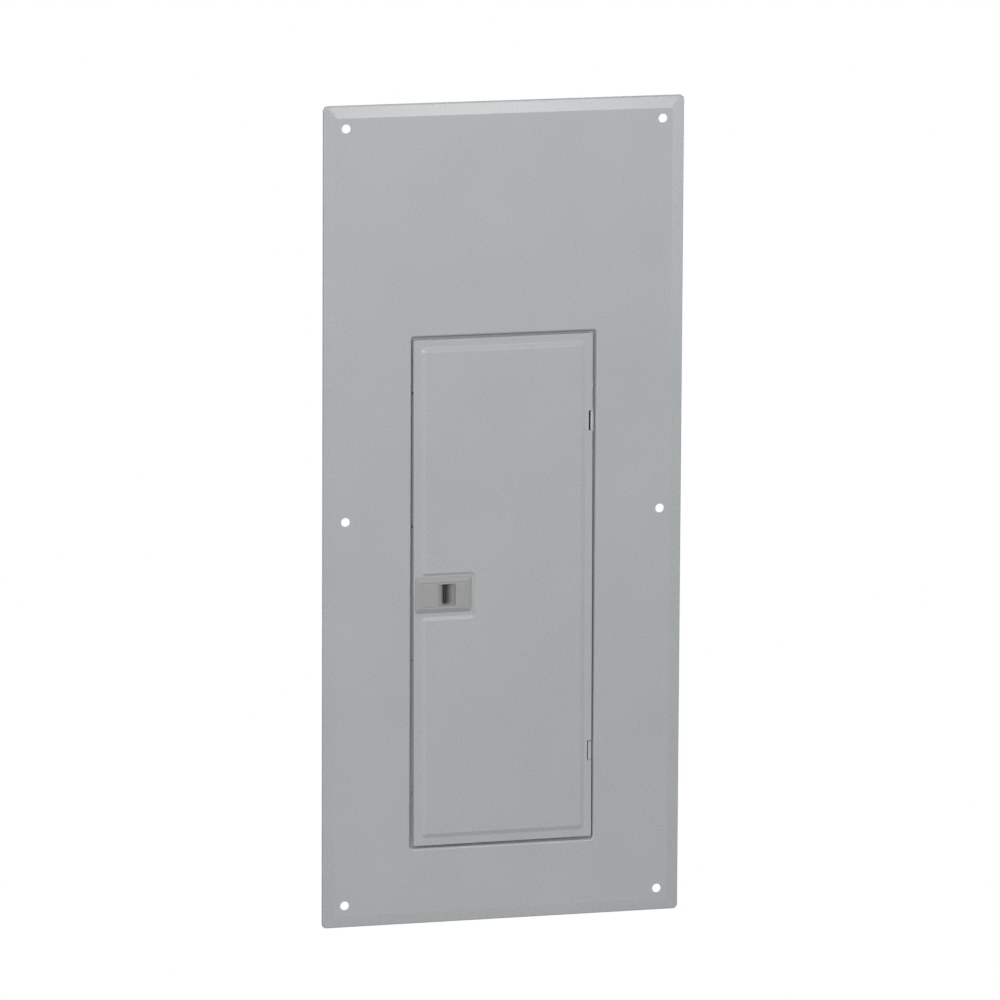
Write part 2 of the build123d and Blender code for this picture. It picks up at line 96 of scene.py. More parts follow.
class Slot(str, Enum):
    """The material slots of the part's record."""

    ENAMEL = "gray_enamel"
    DEAD_FRONT = "dead_front_enamel"
    ZINC = "zinc_plate"
    LATCH = "latch_plastic"
    SLIDE = "slide_plastic"
    SPRING = "spring_steel"
    CARD = "directory_card"
    FILM = "number_film"


# ---------------------------------------------------------------- places read from the frame
@dataclass(frozen=True)
class Box:
    """A node's box in millimetres."""

    low: Vector
    high: Vector

    @classmethod
    def of(cls, node: str) -> Box:
        """Return the box of a node of the part."""
        low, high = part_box(node)
        return cls(Vector(low) / MM, Vector(high) / MM)

    @property
    def centre(self) -> Vector:
        """Return the middle of the box."""
        return (self.low + self.high) / 2

    @property
    def size(self) -> Vector:
        """Return the box's width, depth and height."""
        return self.high - self.low


# ---------------------------------------------------------------- outlines and meshes
def rounded(
    points: Sequence[Point], radii: Sequence[float], closed: bool, segments: int = 8
) -> Outline:
    """Turn the corners of a line into arcs.

    Args:
        points: the line's corners.
        radii: one radius for each corner, where 0 leaves it sharp.
        closed: whether the last point joins the first.
        segments: pieces in each arc.

    Returns:
        The points of the line, with the same number for each rounded corner.
    """
    result: Outline = []
    count = len(points)
    for index, (point, radius) in enumerate(zip(points, radii)):
        is_end = not closed and index in (0, count - 1)
        if is_end or radius <= 0:
            result.append(tuple(point))
            continue
        corner = Vector(point)
        before = (Vector(points[index - 1]) - corner).normalized()
        after = (Vector(points[(index + 1) % count]) - corner).normalized()
        half = before.angle(after) / 2
        centre = corner + (before + after).normalized() * radius / math.sin(half)
        start = corner + before * radius / math.tan(half) - centre
        end = corner + after * radius / math.tan(half) - centre
        turn = math.atan2(start.x * end.y - start.y * end.x, start.dot(end))
        for step in range(segments + 1):
            angle = turn * step / segments
            cos, sin = math.cos(angle), math.sin(angle)
            result.append(
                (
                    centre.x + start.x * cos - start.y * sin,
                    centre.y + start.x * sin + start.y * cos,
                )
            )
    return result


def rectangle(centre: Point, width: float, height: float, radius: float) -> Outline:
    """Draw a rectangle with rounded corners.

    Args:
        centre: its middle.
        width: its size across.
        height: its size upward.
        radius: radius of its corners.

    Returns:
        The outline.
    """
    x, z = centre
    half_width, half_height = width / 2, height / 2
    corners = [
        (x - half_width, z + half_height),
        (x + half_width, z + half_height),
        (x + half_width, z - half_height),
        (x - half_width, z - half_height),
    ]
    return rounded(corners, [radius] * len(corners), closed=True)


def circle(centre: Point, radius: float, segments: int = 48) -> Outline:
    """Return the outline of a circle."""
    return [
        (
            centre[0] + radius * math.cos(math.tau * step / segments),
            centre[1] + radius * math.sin(math.tau * step / segments),
        )
        for step in range(segments)
    ]


def quarter_turns(steps: int) -> list[float]:
    """Return the angles of a quarter turn in equal steps, with both ends."""
    return [math.pi / 2 * step / steps for step in range(steps + 1)]


def eased(radius: float) -> list[Point]:
    """Return a small rounded edge as (inset, depth), from its face to its side."""
    return [(radius, 0.0), (radius * EASE, radius * EASE), (0.0, radius)]


class Skin:
    """A closed surface that is built up from loops of points, in millimetres."""

    def __init__(self) -> None:
        """Start an empty surface."""
        self.mesh = bmesh.new()

    def loop(self, points: Iterable[Sequence[float]]) -> Loop:
        """Add the points of a loop.

        Args:
            points: places in space.

        Returns:
            The loop's vertices.
        """
        return [self.mesh.verts.new(Vector(point) * MM) for point in points]

    def at_depth(self, outline: Outline, depth: float) -> Loop:
        """Add a loop that is parallel to the wall."""
        return self.loop((x, depth, z) for x, z in outline)

    def at_height(self, outline: Outline, height: float) -> Loop:
        """Add a level loop, whose outline is given in width and depth."""
        return self.loop((x, depth, height) for x, depth in outline)

    def band(self, first: Loop, second: Loop) -> None:
        """Join two loops with a band of faces.

        Args:
            first: a loop.
            second: a loop with as many points.
        """
        count = len(first)
        for here in range(count):
            there = (here + 1) % count
            self.mesh.faces.new((first[here], first[there], second[there], second[here]))

    def wall(self, loops: Iterable[Loop]) -> list[Loop]:
        """Join each loop of a row to the next one.

        Args:
            loops: loops with the same number of points.

        Returns:
            The loops, as a list.
        """
        row = list(loops)
        for first, second in zip(row, row[1:]):
            self.band(first, second)
        return row

    def fill(self, *loops: Loop) -> None:
        """Fill the flat area inside the first loop and outside the others.

        Args:
            loops: the outer loop, then the loops of the openings in it.
        """
        edges = []
        for loop in loops:
            for here, there in zip(loop, loop[1:] + loop[:1]):
                edge = self.mesh.edges.get((here, there))
                edges.append(edge or self.mesh.edges.new((here, there)))
        bmesh.ops.triangle_fill(self.mesh, use_beauty=True, edges=edges)

    def turn(self, centre: Sequence[float], axis: str, degrees: float) -> None:
        """Turn what is built so far about an axis through a point."""
        bmesh.ops.rotate(
            self.mesh,
            cent=Vector(centre) * MM,
            matrix=Matrix.Rotation(math.radians(degrees), 3, axis),
            verts=self.mesh.verts,
        )

    def piece(self, name: str) -> Object:
        """Close the surface and return it as a smooth-shaded object."""
        bmesh.ops.recalc_face_normals(self.mesh, faces=self.mesh.faces)
        return object_from(self.mesh, name)


def linked_object(name: str, data: bpy.types.ID) -> Object:
    """Return a new object that holds the data.

    Args:
        name: the object's name.
        data: a mesh, lamp, camera or text.

    Returns:
        The object, at the origin, linked to the scene.
    """
    thing = bpy.data.objects.new(name, data)
    bpy.context.scene.collection.objects.link(thing)
    return thing


def smooth(data: bpy.types.Mesh) -> None:
    """Shade a mesh smooth between its sharp edges."""
    data.shade_smooth()
    data.set_sharp_from_angle(angle=SHARP_EDGE)


def plain_mesh(thing: Object) -> bpy.types.Mesh:
    """Turn an object with modifiers or text into a plain mesh, and remove the object.

    Args:
        thing: the object.

    Returns:
        The mesh.
    """
    final = thing.evaluated_get(bpy.context.evaluated_depsgraph_get())
    data = bpy.data.meshes.new_from_object(final)
    bpy.data.objects.remove(thing)
    return data


def object_from(mesh: bmesh.types.BMesh, name: str) -> Object:
    """Turn a bmesh into an object with smooth bends and crisp corners.

    Args:
        mesh: the finished bmesh, which is freed.
        name: the object's name.

    Returns:
        The object, at the origin, linked to the scene.
    """
    data = bpy.data.meshes.new(name)
    mesh.to_mesh(data)
    mesh.free()
    smooth(data)
    piece = linked_object(name, data)
    weighted = piece.modifiers.new("even_normals", "WEIGHTED_NORMAL")
    weighted.keep_sharp = True
    return piece


def cad_copy(node: str) -> bmesh.types.BMesh:
    """Copy a node's mesh, with its triangles joined into whole faces.

    Args:
        node: the node's name.

    Returns:
        The copy. The node's own mesh stays as it is.
    """
    mesh = bmesh.new()
    mesh.from_mesh(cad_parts[node].data)
    bmesh.ops.remove_doubles(mesh, verts=mesh.verts, dist=MERGE_DISTANCE)
    bmesh.ops.dissolve_limit(mesh, angle_limit=COPLANAR, verts=mesh.verts, edges=mesh.edges)
    return mesh


def soften(
    mesh: bmesh.types.BMesh,
    radius: float,
    wanted: Callable[[bmesh.types.BMEdge], bool] = lambda edge: True,
    segments: int = 2,
) -> None:
    """Round the sharp edges of a mesh.

    Args:
        mesh: the mesh, changed in place.
        radius: width of the rounding in millimetres.
        wanted: says which of the sharp edges to round.
        segments: pieces in each rounding.
    """
    edges = [
        edge
        for edge in mesh.edges
        if len(edge.link_faces) == 2 and edge.calc_face_angle() > SHARP_EDGE and wanted(edge)
    ]
    bmesh.ops.bevel(
        mesh,
        geom=edges,
        offset=radius * MM,
        segments=segments,
        profile=0.5,
        affect="EDGES",
        clamp_overlap=True,
    )
    bmesh.ops.remove_doubles(mesh, verts=mesh.verts, dist=MERGE_DISTANCE)


def softened(node: str, radius: float) -> Object:
    """Copy a node with its sharp edges rounded.

    Args:
        node: the node's name.
        radius: width of the rounding in millimetres.

    Returns:
        The finished copy.
    """
    mesh = cad_copy(node)
    soften(mesh, radius)
    return object_from(mesh, f"{node}_finished")


# ---------------------------------------------------------------- nodes and colours
def linear(hex_colour: str) -> tuple[float, float, float, float]:
    """Turn an sRGB colour into linear values with full alpha.

    Args:
        hex_colour: the colour as #RRGGBB.

    Returns:
        Its red, green, blue and alpha.
    """
    channels = [int(hex_colour[start : start + 2], 16) / 255 for start in (1, 3, 5)]
    low = 0.04045
    values = [c / 12.92 if c <= low else ((c + 0.055) / 1.055) ** 2.4 for c in channels]
    return values[0], values[1], values[2], 1.0


def add_node(
    tree: Tree,
    kind: str,
    settings: Mapping[str, object] | None = None,
    inputs: Mapping[str | int, object] | None = None,
) -> Node:
    """Add a node with its settings, values and links.

    Args:
        tree: the tree that gets the node.
        kind: Blender's name for the node.
        settings: properties of the node.
        inputs: a value, another node's output, or a node, which means its first output,
            for each input, by name or number.

    Returns:
        The new node.
    """
    node = tree.nodes.new(kind)
    for name, value in (settings or {}).items():
        setattr(node, name, value)
    for key, value in (inputs or {}).items():
        source = value.outputs[0] if isinstance(value, Node) else value
        if isinstance(source, Socket):
            tree.links.new(source, node.inputs[key])
        else:
            node.inputs[key].default_value = value
    return node


def per_metre(feature: float) -> float:
    """Return the scale of a pattern on Object coordinates whose features are this many mm."""
    return 1 / (feature * MM)


@dataclass(frozen=True)
class Tooth:
    """A fine pattern in a surface, which spreads its gloss and stands up as relief."""

    feature: float
    detail: float
    relief: float
    strength: float
    glossier: float = 0.0
    duller: float = 0.0


@dataclass(frozen=True)
class Finish:
    """A surface finish, with what all of them share."""

    name: str
    colour: str
    roughness: float
    metallic: float = 0.0
    tooth: Tooth | None = None

    def build(self) -> Material:
        """Build the finish.

        Returns:
            The material.
        """
        material = bpy.data.materials.new(self.name)
        material.use_nodes = True
        tree = material.node_tree
        tree.nodes.clear()
        look = {
            "Base Color": linear(self.colour),
            "Roughness": self.roughness,
            "Metallic": self.metallic,
        }
        shader = add_node(tree, "ShaderNodeBsdfPrincipled", inputs=look)
        add_node(tree, "ShaderNodeOutputMaterial", inputs={"Surface": shader})
        place = add_node(tree, "ShaderNodeTexCoord").outputs["Object"]
        if self.tooth:
            self.roughen(tree, shader, place)
        self.dress(tree, shader, place)
        return material

    def roughen(self, tree: Tree, shader: Node, place: Socket) -> None:
        """Spread the gloss and raise the relief with the finish's tooth.

        Args:
            tree: the material's nodes.
            shader: the surface's shader.
            place: the place on the object.
        """
        tooth = self.tooth
        scale = per_metre(tooth.feature)
        noise = {"Vector": place, "Scale": scale, "Detail": tooth.detail}
        pattern = add_node(tree, "ShaderNodeTexNoise", inputs=noise)
        if tooth.duller > 0:
            ends = {
                "To Min": self.roughness - tooth.glossier,
                "To Max": self.roughness + tooth.duller,
            }
            inputs = {"Value": pattern, **NOISE_SPREAD, **ends}
            gloss = add_node(tree, "ShaderNodeMapRange", inputs=inputs)
            tree.links.new(gloss.outputs["Result"], shader.inputs["Roughness"])
        relief = {
            "Height": pattern,
            "Distance": tooth.relief * MM,
            "Strength": tooth.strength,
        }
        bump = add_node(tree, "ShaderNodeBump", inputs=relief)
        tree.links.new(bump.outputs["Normal"], shader.inputs["Normal"])

    def dress(self, tree: Tree, shader: Node, place: Socket) -> None:
        """Add what is special to the finish. A plain finish has nothing to add."""


@dataclass(frozen=True)
class BakedEnamel(Finish):
    """Baked polyester enamel, sprayed on steel.

    The film flows out almost level and keeps a faint orange peel, so it shows soft, slightly
    uneven highlights and hardly any change of colour.
    """

    tooth: Tooth = Tooth(
        2.2, detail=3.0, relief=0.003, strength=0.5, glossier=0.02, duller=0.02
    )
    second_colour: str = "#A9ACAE"
    drift: float = 90.0
    drift_detail: float = 2.0

    def dress(self, tree: Tree, shader: Node, place: Socket) -> None:
        """Let the colour drift slightly over the sheet.

        Args:
            tree: the material's nodes.
            shader: the surface's shader.
            place: the place on the object.
        """
        scale = per_metre(self.drift)
        noise = {"Vector": place, "Scale": scale, "Detail": self.drift_detail}
        drift = add_node(tree, "ShaderNodeTexNoise", inputs=noise)
        share = add_node(tree, "ShaderNodeMapRange", inputs={"Value": drift, **NOISE_SPREAD})
        pair = {"Factor": share, 6: linear(self.colour), 7: linear(self.second_colour)}
        colours = add_node(tree, "ShaderNodeMix", {"data_type": "RGBA"}, pair)
        tree.links.new(colours.outputs[2], shader.inputs["Base Color"])


@dataclass(frozen=True)
class ZincPlate(Finish):
    """Bright zinc plated on cold-rolled steel.

    It is a metal with a faint grain from rolling under the plate, so its highlights are
    bright with slightly soft edges.
    """

    metallic: float = 1.0
    tooth: Tooth = Tooth(
        0.6, detail=4.0, relief=0.004, strength=0.4, glossier=0.05, duller=0.08
    )


@dataclass(frozen=True)
class MouldedPlastic(Finish):
    """Polycarbonate moulded in a spark-eroded tool.

    The tool leaves a fine even texture, so the surface is matter than the enamel beside it
    and its edges stay quiet.
    """

    tooth: Tooth = Tooth(
        0.5, detail=2.0, relief=0.01, strength=0.5, glossier=0.04, duller=0.04
    )


@dataclass(frozen=True)
class HandledPlastic(MouldedPlastic):
    """Moulded plastic whose colour is painted darker toward the bottom of a scoop, as painted
    shade.

    The plastic is a satin grey, and the scoop's colour darkens toward its deepest part, standing in
    for the shade that falls there.
    """

    # Depths where the painted shade starts and where it is full, and its darkest colour.
    grime_start: float = 1.5
    grime_end: float = 7.5
    grime: str = "#626166"

    def dress(self, tree: Tree, shader: Node, place: Socket) -> None:
        """Paint shade into the plastic, darker with depth.

        Args:
            tree: the material's nodes.
            shader: the surface's shader.
            place: the place on the object.
        """
        # Painted shade: the colour runs from the plain grey to the shade colour as the scoop
        # deepens.
        axes = add_node(tree, "ShaderNodeSeparateXYZ", inputs={0: place})
        reach = {"From Min": self.grime_start * MM, "From Max": self.grime_end * MM}
        inputs = {"Value": axes.outputs["Y"], **reach}
        depth = add_node(tree, "ShaderNodeMapRange", inputs=inputs)
        settings = {"data_type": "RGBA", "blend_type": "MULTIPLY"}
        pair = {"Factor": depth, 6: linear(self.colour), 7: linear(self.grime)}
        painted_dark = add_node(tree, "ShaderNodeMix", settings, pair)
        tree.links.new(painted_dark.outputs[2], shader.inputs["Base Color"])


@dataclass(frozen=True)
class PrintedSheet(Finish):
    """Card or film that takes print.

    Its fibres or coating scatter light evenly, so it is matt, with a very faint tooth.
    """

    tooth: Tooth = Tooth(0.8, detail=4.0, relief=0.006, strength=0.4)


class Paintbox:
    """Every finish of the cover, each built once."""

    def __init__(self) -> None:
        """Build the materials."""
        self.enamel = BakedEnamel("baked_gray_enamel", "#A6A9AB", 0.28).build()
        self.inner_enamel = BakedEnamel("baked_gray_enamel_inner", "#A0A3A4", 0.45).build()
        self.zinc = ZincPlate("bright_zinc_plate", "#9DA0A3", 0.22).build()
        self.dull_zinc = ZincPlate("dull_zinc_plate", "#9EA2A4", 0.50).build()
        self.latch = MouldedPlastic("moulded_polycarbonate_housing", "#959595", 0.50).build()
        # The slide's scoop gets painted shade, darker with depth.
        self.slide = HandledPlastic("moulded_polycarbonate_slide", "#9A9A9A", 0.50).build()
        self.wire = ZincPlate("drawn_spring_steel", "#9A9CA0", 0.32).build()
        self.card = PrintedSheet("directory_card", "#E9E8E1", 0.80).build()
        self.film = PrintedSheet("number_film", "#ECEBE6", 0.55).build()
        self.ink = PrintedSheet("printing_ink", "#2B2C2E", 0.65).build()


def dress_piece(
    piece: Object,
    material: Material,
    body: Body,
    slot: Slot,
    *nodes: str,
) -> None:
    """Give a finished piece its material, its body and the nodes that it stands for.

    Args:
        piece: the piece.
        material: its finish.
        body: the body that it moves with.
        slot: its material slot, which is not used.
        nodes: the nodes of the part that it replaces.
    """
    piece.data.materials.clear()
    piece.data.materials.append(material)
    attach(piece, body.value)
    if nodes:
        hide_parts(*nodes)
    log.info("%s rides on %s", piece.name, body.value)


# ---------------------------------------------------------------- pressed steel
@dataclass
class Recess:
    """The recess in the cover that the door lies in."""

    width: float = 200.0
    height: float = 547.5
    centre_height: float = -82.4
    corner_radius: float = 3.0
    roll_radius: float = 3.0
    ledge_depth: float = 5.5
    ledge_width: float = 9.0
    foot_radius: float = 2.5
    window_corner_radius: float = 0.4

    def outline(self, outset: float) -> Outline:
        """Return the recess's outline, drawn out by outset."""
        return rectangle(
            (0.0, self.centre_height),
            self.width + 2 * outset,
            self.height + 2 * outset,
            self.corner_radius + outset,
        )

    def window(self) -> Outline:
        """Return the outline of the opening inside the ledge."""
        return rectangle(
            (0.0, self.centre_height),
            self.width - 2 * self.ledge_width,
            self.height - 2 * self.ledge_width,
            self.window_corner_radius,
        )


@dataclass
class CoverPressing:
    """The cover panel: a flat face with a bevel and rim round it, holes and the recess."""

    sheet: float = 1.5
    corner_radius: float = 5.0
    bevel_width: float = 13.0
    bevel_drop: float = 2.3
    bevel_corner_radius: float = 2.0
    bevel_bend_radius: float = 6.0
    rim_bend_radius: float = 1.8
    rim_depth: float = 5.0
    hole_diameter: float = 9.5
    hole_edge_radius: float = 0.35
    screw_edge_distance: float = 24.0
    middle_screw_height: float = -2.0
    recess: Recess = field(default_factory=Recess)

    def __post_init__(self) -> None:
        """Take the overall size from the part."""
        panel = Box.of("cover_panel")
        self.width = panel.size.x
        self.height = panel.size.z
        self.slope = math.atan2(self.bevel_drop, self.bevel_width)

    def outline(self, inset: float) -> Outline:
        """Draw the cover's outline.

        Args:
            inset: how far it is drawn in from the edges.

        Returns:
            The outline, whose corners grow sharper toward the face.
        """
        taper = (self.corner_radius - self.bevel_corner_radius) / self.bevel_width
        radius = max(self.corner_radius - taper * inset, self.bevel_corner_radius)
        return rectangle((0.0, 0.0), self.width - 2 * inset, self.height - 2 * inset, radius)

    def front_section(self) -> Outline:
        """Return the front of the bevel's section, from the rim in, as (inset, depth)."""
        return rounded(
            [
                (0.0, self.rim_depth),
                (0.0, self.bevel_drop),
                (self.bevel_width, 0.0),
                (self.bevel_width + self.bevel_bend_radius, 0.0),
            ],
            [0.0, self.rim_bend_radius, self.bevel_bend_radius, 0.0],
            closed=False,
        )[:-1]

    def back_section(self) -> Outline:
        """Draw the back of the bevel's section, a sheet's thickness behind its front.

        Returns:
            Its points from the rim in, as (inset, depth).
        """
        corner_depth = (
            self.bevel_drop + self.sheet / math.cos(self.slope) - self.sheet * math.tan(self.slope)
        )
        face_inset = self.bevel_width + self.sheet * math.tan(self.slope / 2)
        return rounded(
            [
                (self.sheet, self.rim_depth),
                (self.sheet, corner_depth),
                (face_inset, self.sheet),
                (face_inset + self.bevel_bend_radius, self.sheet),
            ],
            [
                0.0,
                self.rim_bend_radius - self.sheet,
                self.bevel_bend_radius - self.sheet,
                0.0,
            ],
            closed=False,
        )[:-1]

    def screw_places(self) -> list[Point]:
        """Place the six screw holes.

        Returns:
            Their centres.
        """
        x = self.width / 2 - self.screw_edge_distance
        z = self.height / 2 - self.screw_edge_distance
        return [(side * x, row) for side in (-1, 1) for row in (z, self.middle_screw_height, -z)]

    def roll(self, radius: float) -> Outline:
        """Draw the roll from the face into the recess.

        Args:
            radius: radius of the bend on this side of the sheet.

        Returns:
            Its points as (outset, depth).
        """
        centre = self.recess.roll_radius
        return [
            (centre - radius * math.sin(turn), centre - radius * math.cos(turn))
            for turn in quarter_turns(8)
        ]

    def foot(self, radius: float) -> Outline:
        """Draw the bend from the recess's wall to its ledge.

        Args:
            radius: radius of the bend on this side of the sheet.

        Returns:
            Its points as (outset, depth).
        """
        centre = -self.recess.foot_radius
        depth = self.recess.ledge_depth - self.recess.foot_radius
        return [
            (centre + radius * math.cos(turn), depth + radius * math.sin(turn))
            for turn in quarter_turns(6)
        ]

    def build(self) -> Object:
        """Build the pressed panel.

        Returns:
            The panel.
        """
        skin = Skin()
        front, back = (
            skin.wall(skin.at_depth(self.outline(inset), y) for inset, y in section)
            for section in (self.front_section(), self.back_section())
        )
        skin.band(front[0], back[0])
        holes = [self.hole(skin, place) for place in self.screw_places()]
        recess = self.recess
        front_bends = self.roll(recess.roll_radius)[:-1] + self.foot(recess.foot_radius)
        back_bends = self.roll(recess.roll_radius - self.sheet)[:-1]
        back_bends += self.foot(recess.foot_radius + self.sheet)
        wall, rear = (
            skin.wall(skin.at_depth(recess.outline(out), y) for out, y in bends)
            for bends in (front_bends, back_bends)
        )
        window = skin.wall(
            skin.at_depth(recess.window(), recess.ledge_depth + step)
            for step in (0.0, self.sheet)
        )
        skin.fill(wall[-1], window[0])
        skin.fill(rear[-1], window[1])
        skin.fill(front[-1], *(rings[0] for rings in holes), wall[0])
        skin.fill(back[-1], *(rings[-1] for rings in holes), rear[0])
        return skin.piece("cover_pressing")

    def hole(self, skin: Skin, place: Point) -> list[Loop]:
        """Add a pierced hole whose front edge is drawn in slightly.

        Args:
            skin: the skin that it is added to.
            place: the hole's centre.

        Returns:
            Its loops, from the front to the back.
        """
        radius, edge = self.hole_diameter / 2, self.hole_edge_radius
        rings = [
            (radius + edge * (1 - math.sin(turn)), edge * (1 - math.cos(turn)))
            for turn in quarter_turns(3)
        ]
        rings.append((radius, self.sheet))
        return skin.wall(skin.at_depth(circle(place, ring), depth) for ring, depth in rings)


@dataclass
class DoorPressing:
    """The door: a flat rim with a raised field that steps round the latch."""

    width: float = 195.0
    height: float = 541.8
    hang_angle: float = 0.2
    sheet: float = 1.2
    edge_radius: float = 0.3
    corner_radius: float = 2.0
    field_inset: float = 8.2
    field_slope: float = 4.7
    field_height: float = 2.3
    bend_radius: float = 1.8
    field_corner_radius: float = 5.2
    field_inside_radius: float = 2.4
    notch_slope: float = 2.5
    latch_side_margin: float = 0.85
    latch_top_margin: float = 2.2
    latch_bottom_margin: float = 4.7
    bezel_width: float = 61.0
    notch_depth: float = 4.4
    notch_height: float = 21.9
    notch_corner_radius: float = 0.5
    body_clearance: float = 0.5
    body_height: float = 29.0
    knockout_diameter: float = 17.5
    knockout_shift: float = 6.6
    knockout_rise: float = 39.7
    score_width: float = 0.4
    score_depth: float = 0.15
    back_crest_radius: float = 0.6
    body_corner_radius: float = 0.3

    def __post_init__(self) -> None:
        """Take the overall size and the places of the latch and hinges from the part."""
        self.centre_height = Box.of("door_panel").centre.z
        cover = Box.of("latch_back_cover")
        self.body_left, self.body_right = cover.low.x, cover.high.x
        housing = Box.of("latch_housing")
        self.bezel_height = housing.size.z
        self.latch = (housing.high.x - self.bezel_width / 2, housing.centre.z)
        self.hinge_heights = [
            Box.of(f"hinge_strap_{name}").centre.z for name in ("upper", "lower")
        ]

    def edge_outline(self, inset: float) -> Outline:
        """Draw the door's outline with its two hinge notches.

        Args:
            inset: how far it is drawn in from the edges.

        Returns:
            The outline.
        """
        left, right = -self.width / 2 + inset, self.width / 2 - inset
        top = self.centre_height + self.height / 2 - inset
        bottom = self.centre_height - self.height / 2 + inset
        corners: Outline = [(left, top), (right, top)]
        radii = [self.corner_radius] * 2
        notch_left = self.width / 2 - self.notch_depth - inset
        half = self.notch_height / 2 + inset
        for hinge_z in self.hinge_heights:
            corners += [
                (right, hinge_z + half),
                (notch_left, hinge_z + half),
                (notch_left, hinge_z - half),
                (right, hinge_z - half),
            ]
            radii += [self.notch_corner_radius] * 4
        corners += [(right, bottom), (left, bottom)]
        radii += [self.corner_radius] * 2
        return rounded(corners, radii, closed=True, segments=4)

    def field_outline(self, inset: float, notch_inset: float) -> Outline:
        """Return the raised field's outline at one height of its slope.

        Args:
            inset: how far the outline is drawn in from the slope's foot.
            notch_inset: how far it is drawn in round the latch, where the slope is steeper.

        Returns:
            The outline, which steps round the latch.
        """
        half_width = self.width / 2 - self.field_inset - inset
        half_height = self.height / 2 - self.field_inset - inset
        top, bottom = self.centre_height + half_height, self.centre_height - half_height
        notch_x = self.latch[0] + self.bezel_width / 2 + self.latch_side_margin + notch_inset
        bezel_top = self.latch[1] + self.bezel_height / 2
        notch_top = bezel_top + self.latch_top_margin + notch_inset
        notch_bottom = bezel_top - self.bezel_height - self.latch_bottom_margin - notch_inset
        outer = self.field_corner_radius - inset
        inside = self.field_inside_radius + notch_inset
        return rounded(
            [
                (-half_width, top),
                (half_width, top),
                (half_width, bottom),
                (-half_width, bottom),
                (-half_width, notch_bottom),
                (notch_x, notch_bottom),
                (notch_x, notch_top),
                (-half_width, notch_top),
            ],
            [outer] * 5 + [inside] * 2 + [outer],
            closed=True,
            segments=10,
        )

    def section(self, depth: float, slope: float, foot: float, crest: float) -> Outline:
        """Return one side of a slope's section as (inset, depth).

        Args:
            depth: depth of the rim's side that the section starts from.
            slope: the slope's width.
            foot: radius of the bend at the slope's foot.
            crest: radius of the bend at the slope's crest.

        Returns:
            The section's points, from the foot to the crest.
        """
        reach = self.bend_radius
        shift = depth * math.tan(math.atan2(self.field_height, slope) / 2)
        return rounded(
            [
                (shift - reach, depth),
                (shift, depth),
                (shift + slope, depth - self.field_height),
                (shift + slope + reach, depth - self.field_height),
            ],
            [0.0, foot, crest, 0.0],
            closed=False,
            segments=6,
        )[1:-1]

    def slope_loops(self, skin: Skin, depth: float, foot: float, crest: float) -> list[Loop]:
        """Add the loops of one side of the field's slope.

        Args:
            skin: the skin that they are added to.
            depth: depth of the rim's side that the slope starts from.
            foot: radius of the bend at the slope's foot.
            crest: radius of the bend at the slope's crest.

        Returns:
            The loops, from the foot to the crest.
        """
        gentle = self.section(depth, self.field_slope, foot, crest)
        steep = self.section(depth, self.notch_slope, foot, crest)
        loops = []
        for inset, level in gentle:
            beyond = [i for i, point in enumerate(steep) if point[1] <= level + SAME_LEVEL]
            after = beyond[0] if beyond else len(steep) - 1
            notch_inset, found = steep[after]
            if after > 0 and found < level:
                before_inset, before = steep[after - 1]
                share = (before - level) / (before - found)
                notch_inset = before_inset + share * (notch_inset - before_inset)
            loops.append(skin.at_depth(self.field_outline(inset, notch_inset), level))
        return loops

    def build(self) -> Object:
        """Build the pressed door.

        Returns:
            The door, turned by the angle that it hangs at.
        """
        skin = Skin()
        levels = eased(self.edge_radius) + [(0.0, self.sheet)]
        edge = skin.wall(skin.at_depth(self.edge_outline(inset), y) for inset, y in levels)
        thin, thick = self.bend_radius, self.bend_radius + self.sheet
        front = skin.wall(self.slope_loops(skin, 0.0, thin, thin))
        back = skin.wall(self.slope_loops(skin, self.sheet, thick, self.back_crest_radius))
        body = rectangle(
            ((self.body_left + self.body_right) / 2, self.latch[1]),
            self.body_right - self.body_left + 2 * self.body_clearance,
            self.body_height + 2 * self.body_clearance,
            self.body_corner_radius,
        )
        opening = skin.wall(skin.at_depth(body, depth) for depth in (0.0, self.sheet))
        skin.fill(edge[0], front[0], opening[0])
        skin.fill(edge[-1], back[0], opening[1])
        skin.fill(front[-1], self.knockout(skin))
        skin.fill(back[-1])
        skin.turn((0.0, 0.0, self.centre_height), "Y", -self.hang_angle)
        return skin.piece("door_pressing")

    def knockout(self, skin: Skin) -> Loop:
        """Add the scored disc that is knocked out for a lock.

        Args:
            skin: the skin that it is added to.

        Returns:
            Its outer loop.
        """
        place = (self.latch[0] - self.knockout_shift, self.latch[1] + self.knockout_rise)
        score = ((0.0, 0.0), (self.score_width / 2, self.score_depth), (self.score_width, 0.0))
        rings = skin.wall(
            skin.at_depth(
                circle(place, self.knockout_diameter / 2 - inset), depth - self.field_height
            )
            for inset, depth in score
        )
        skin.fill(rings[-1])
        return rings[0]


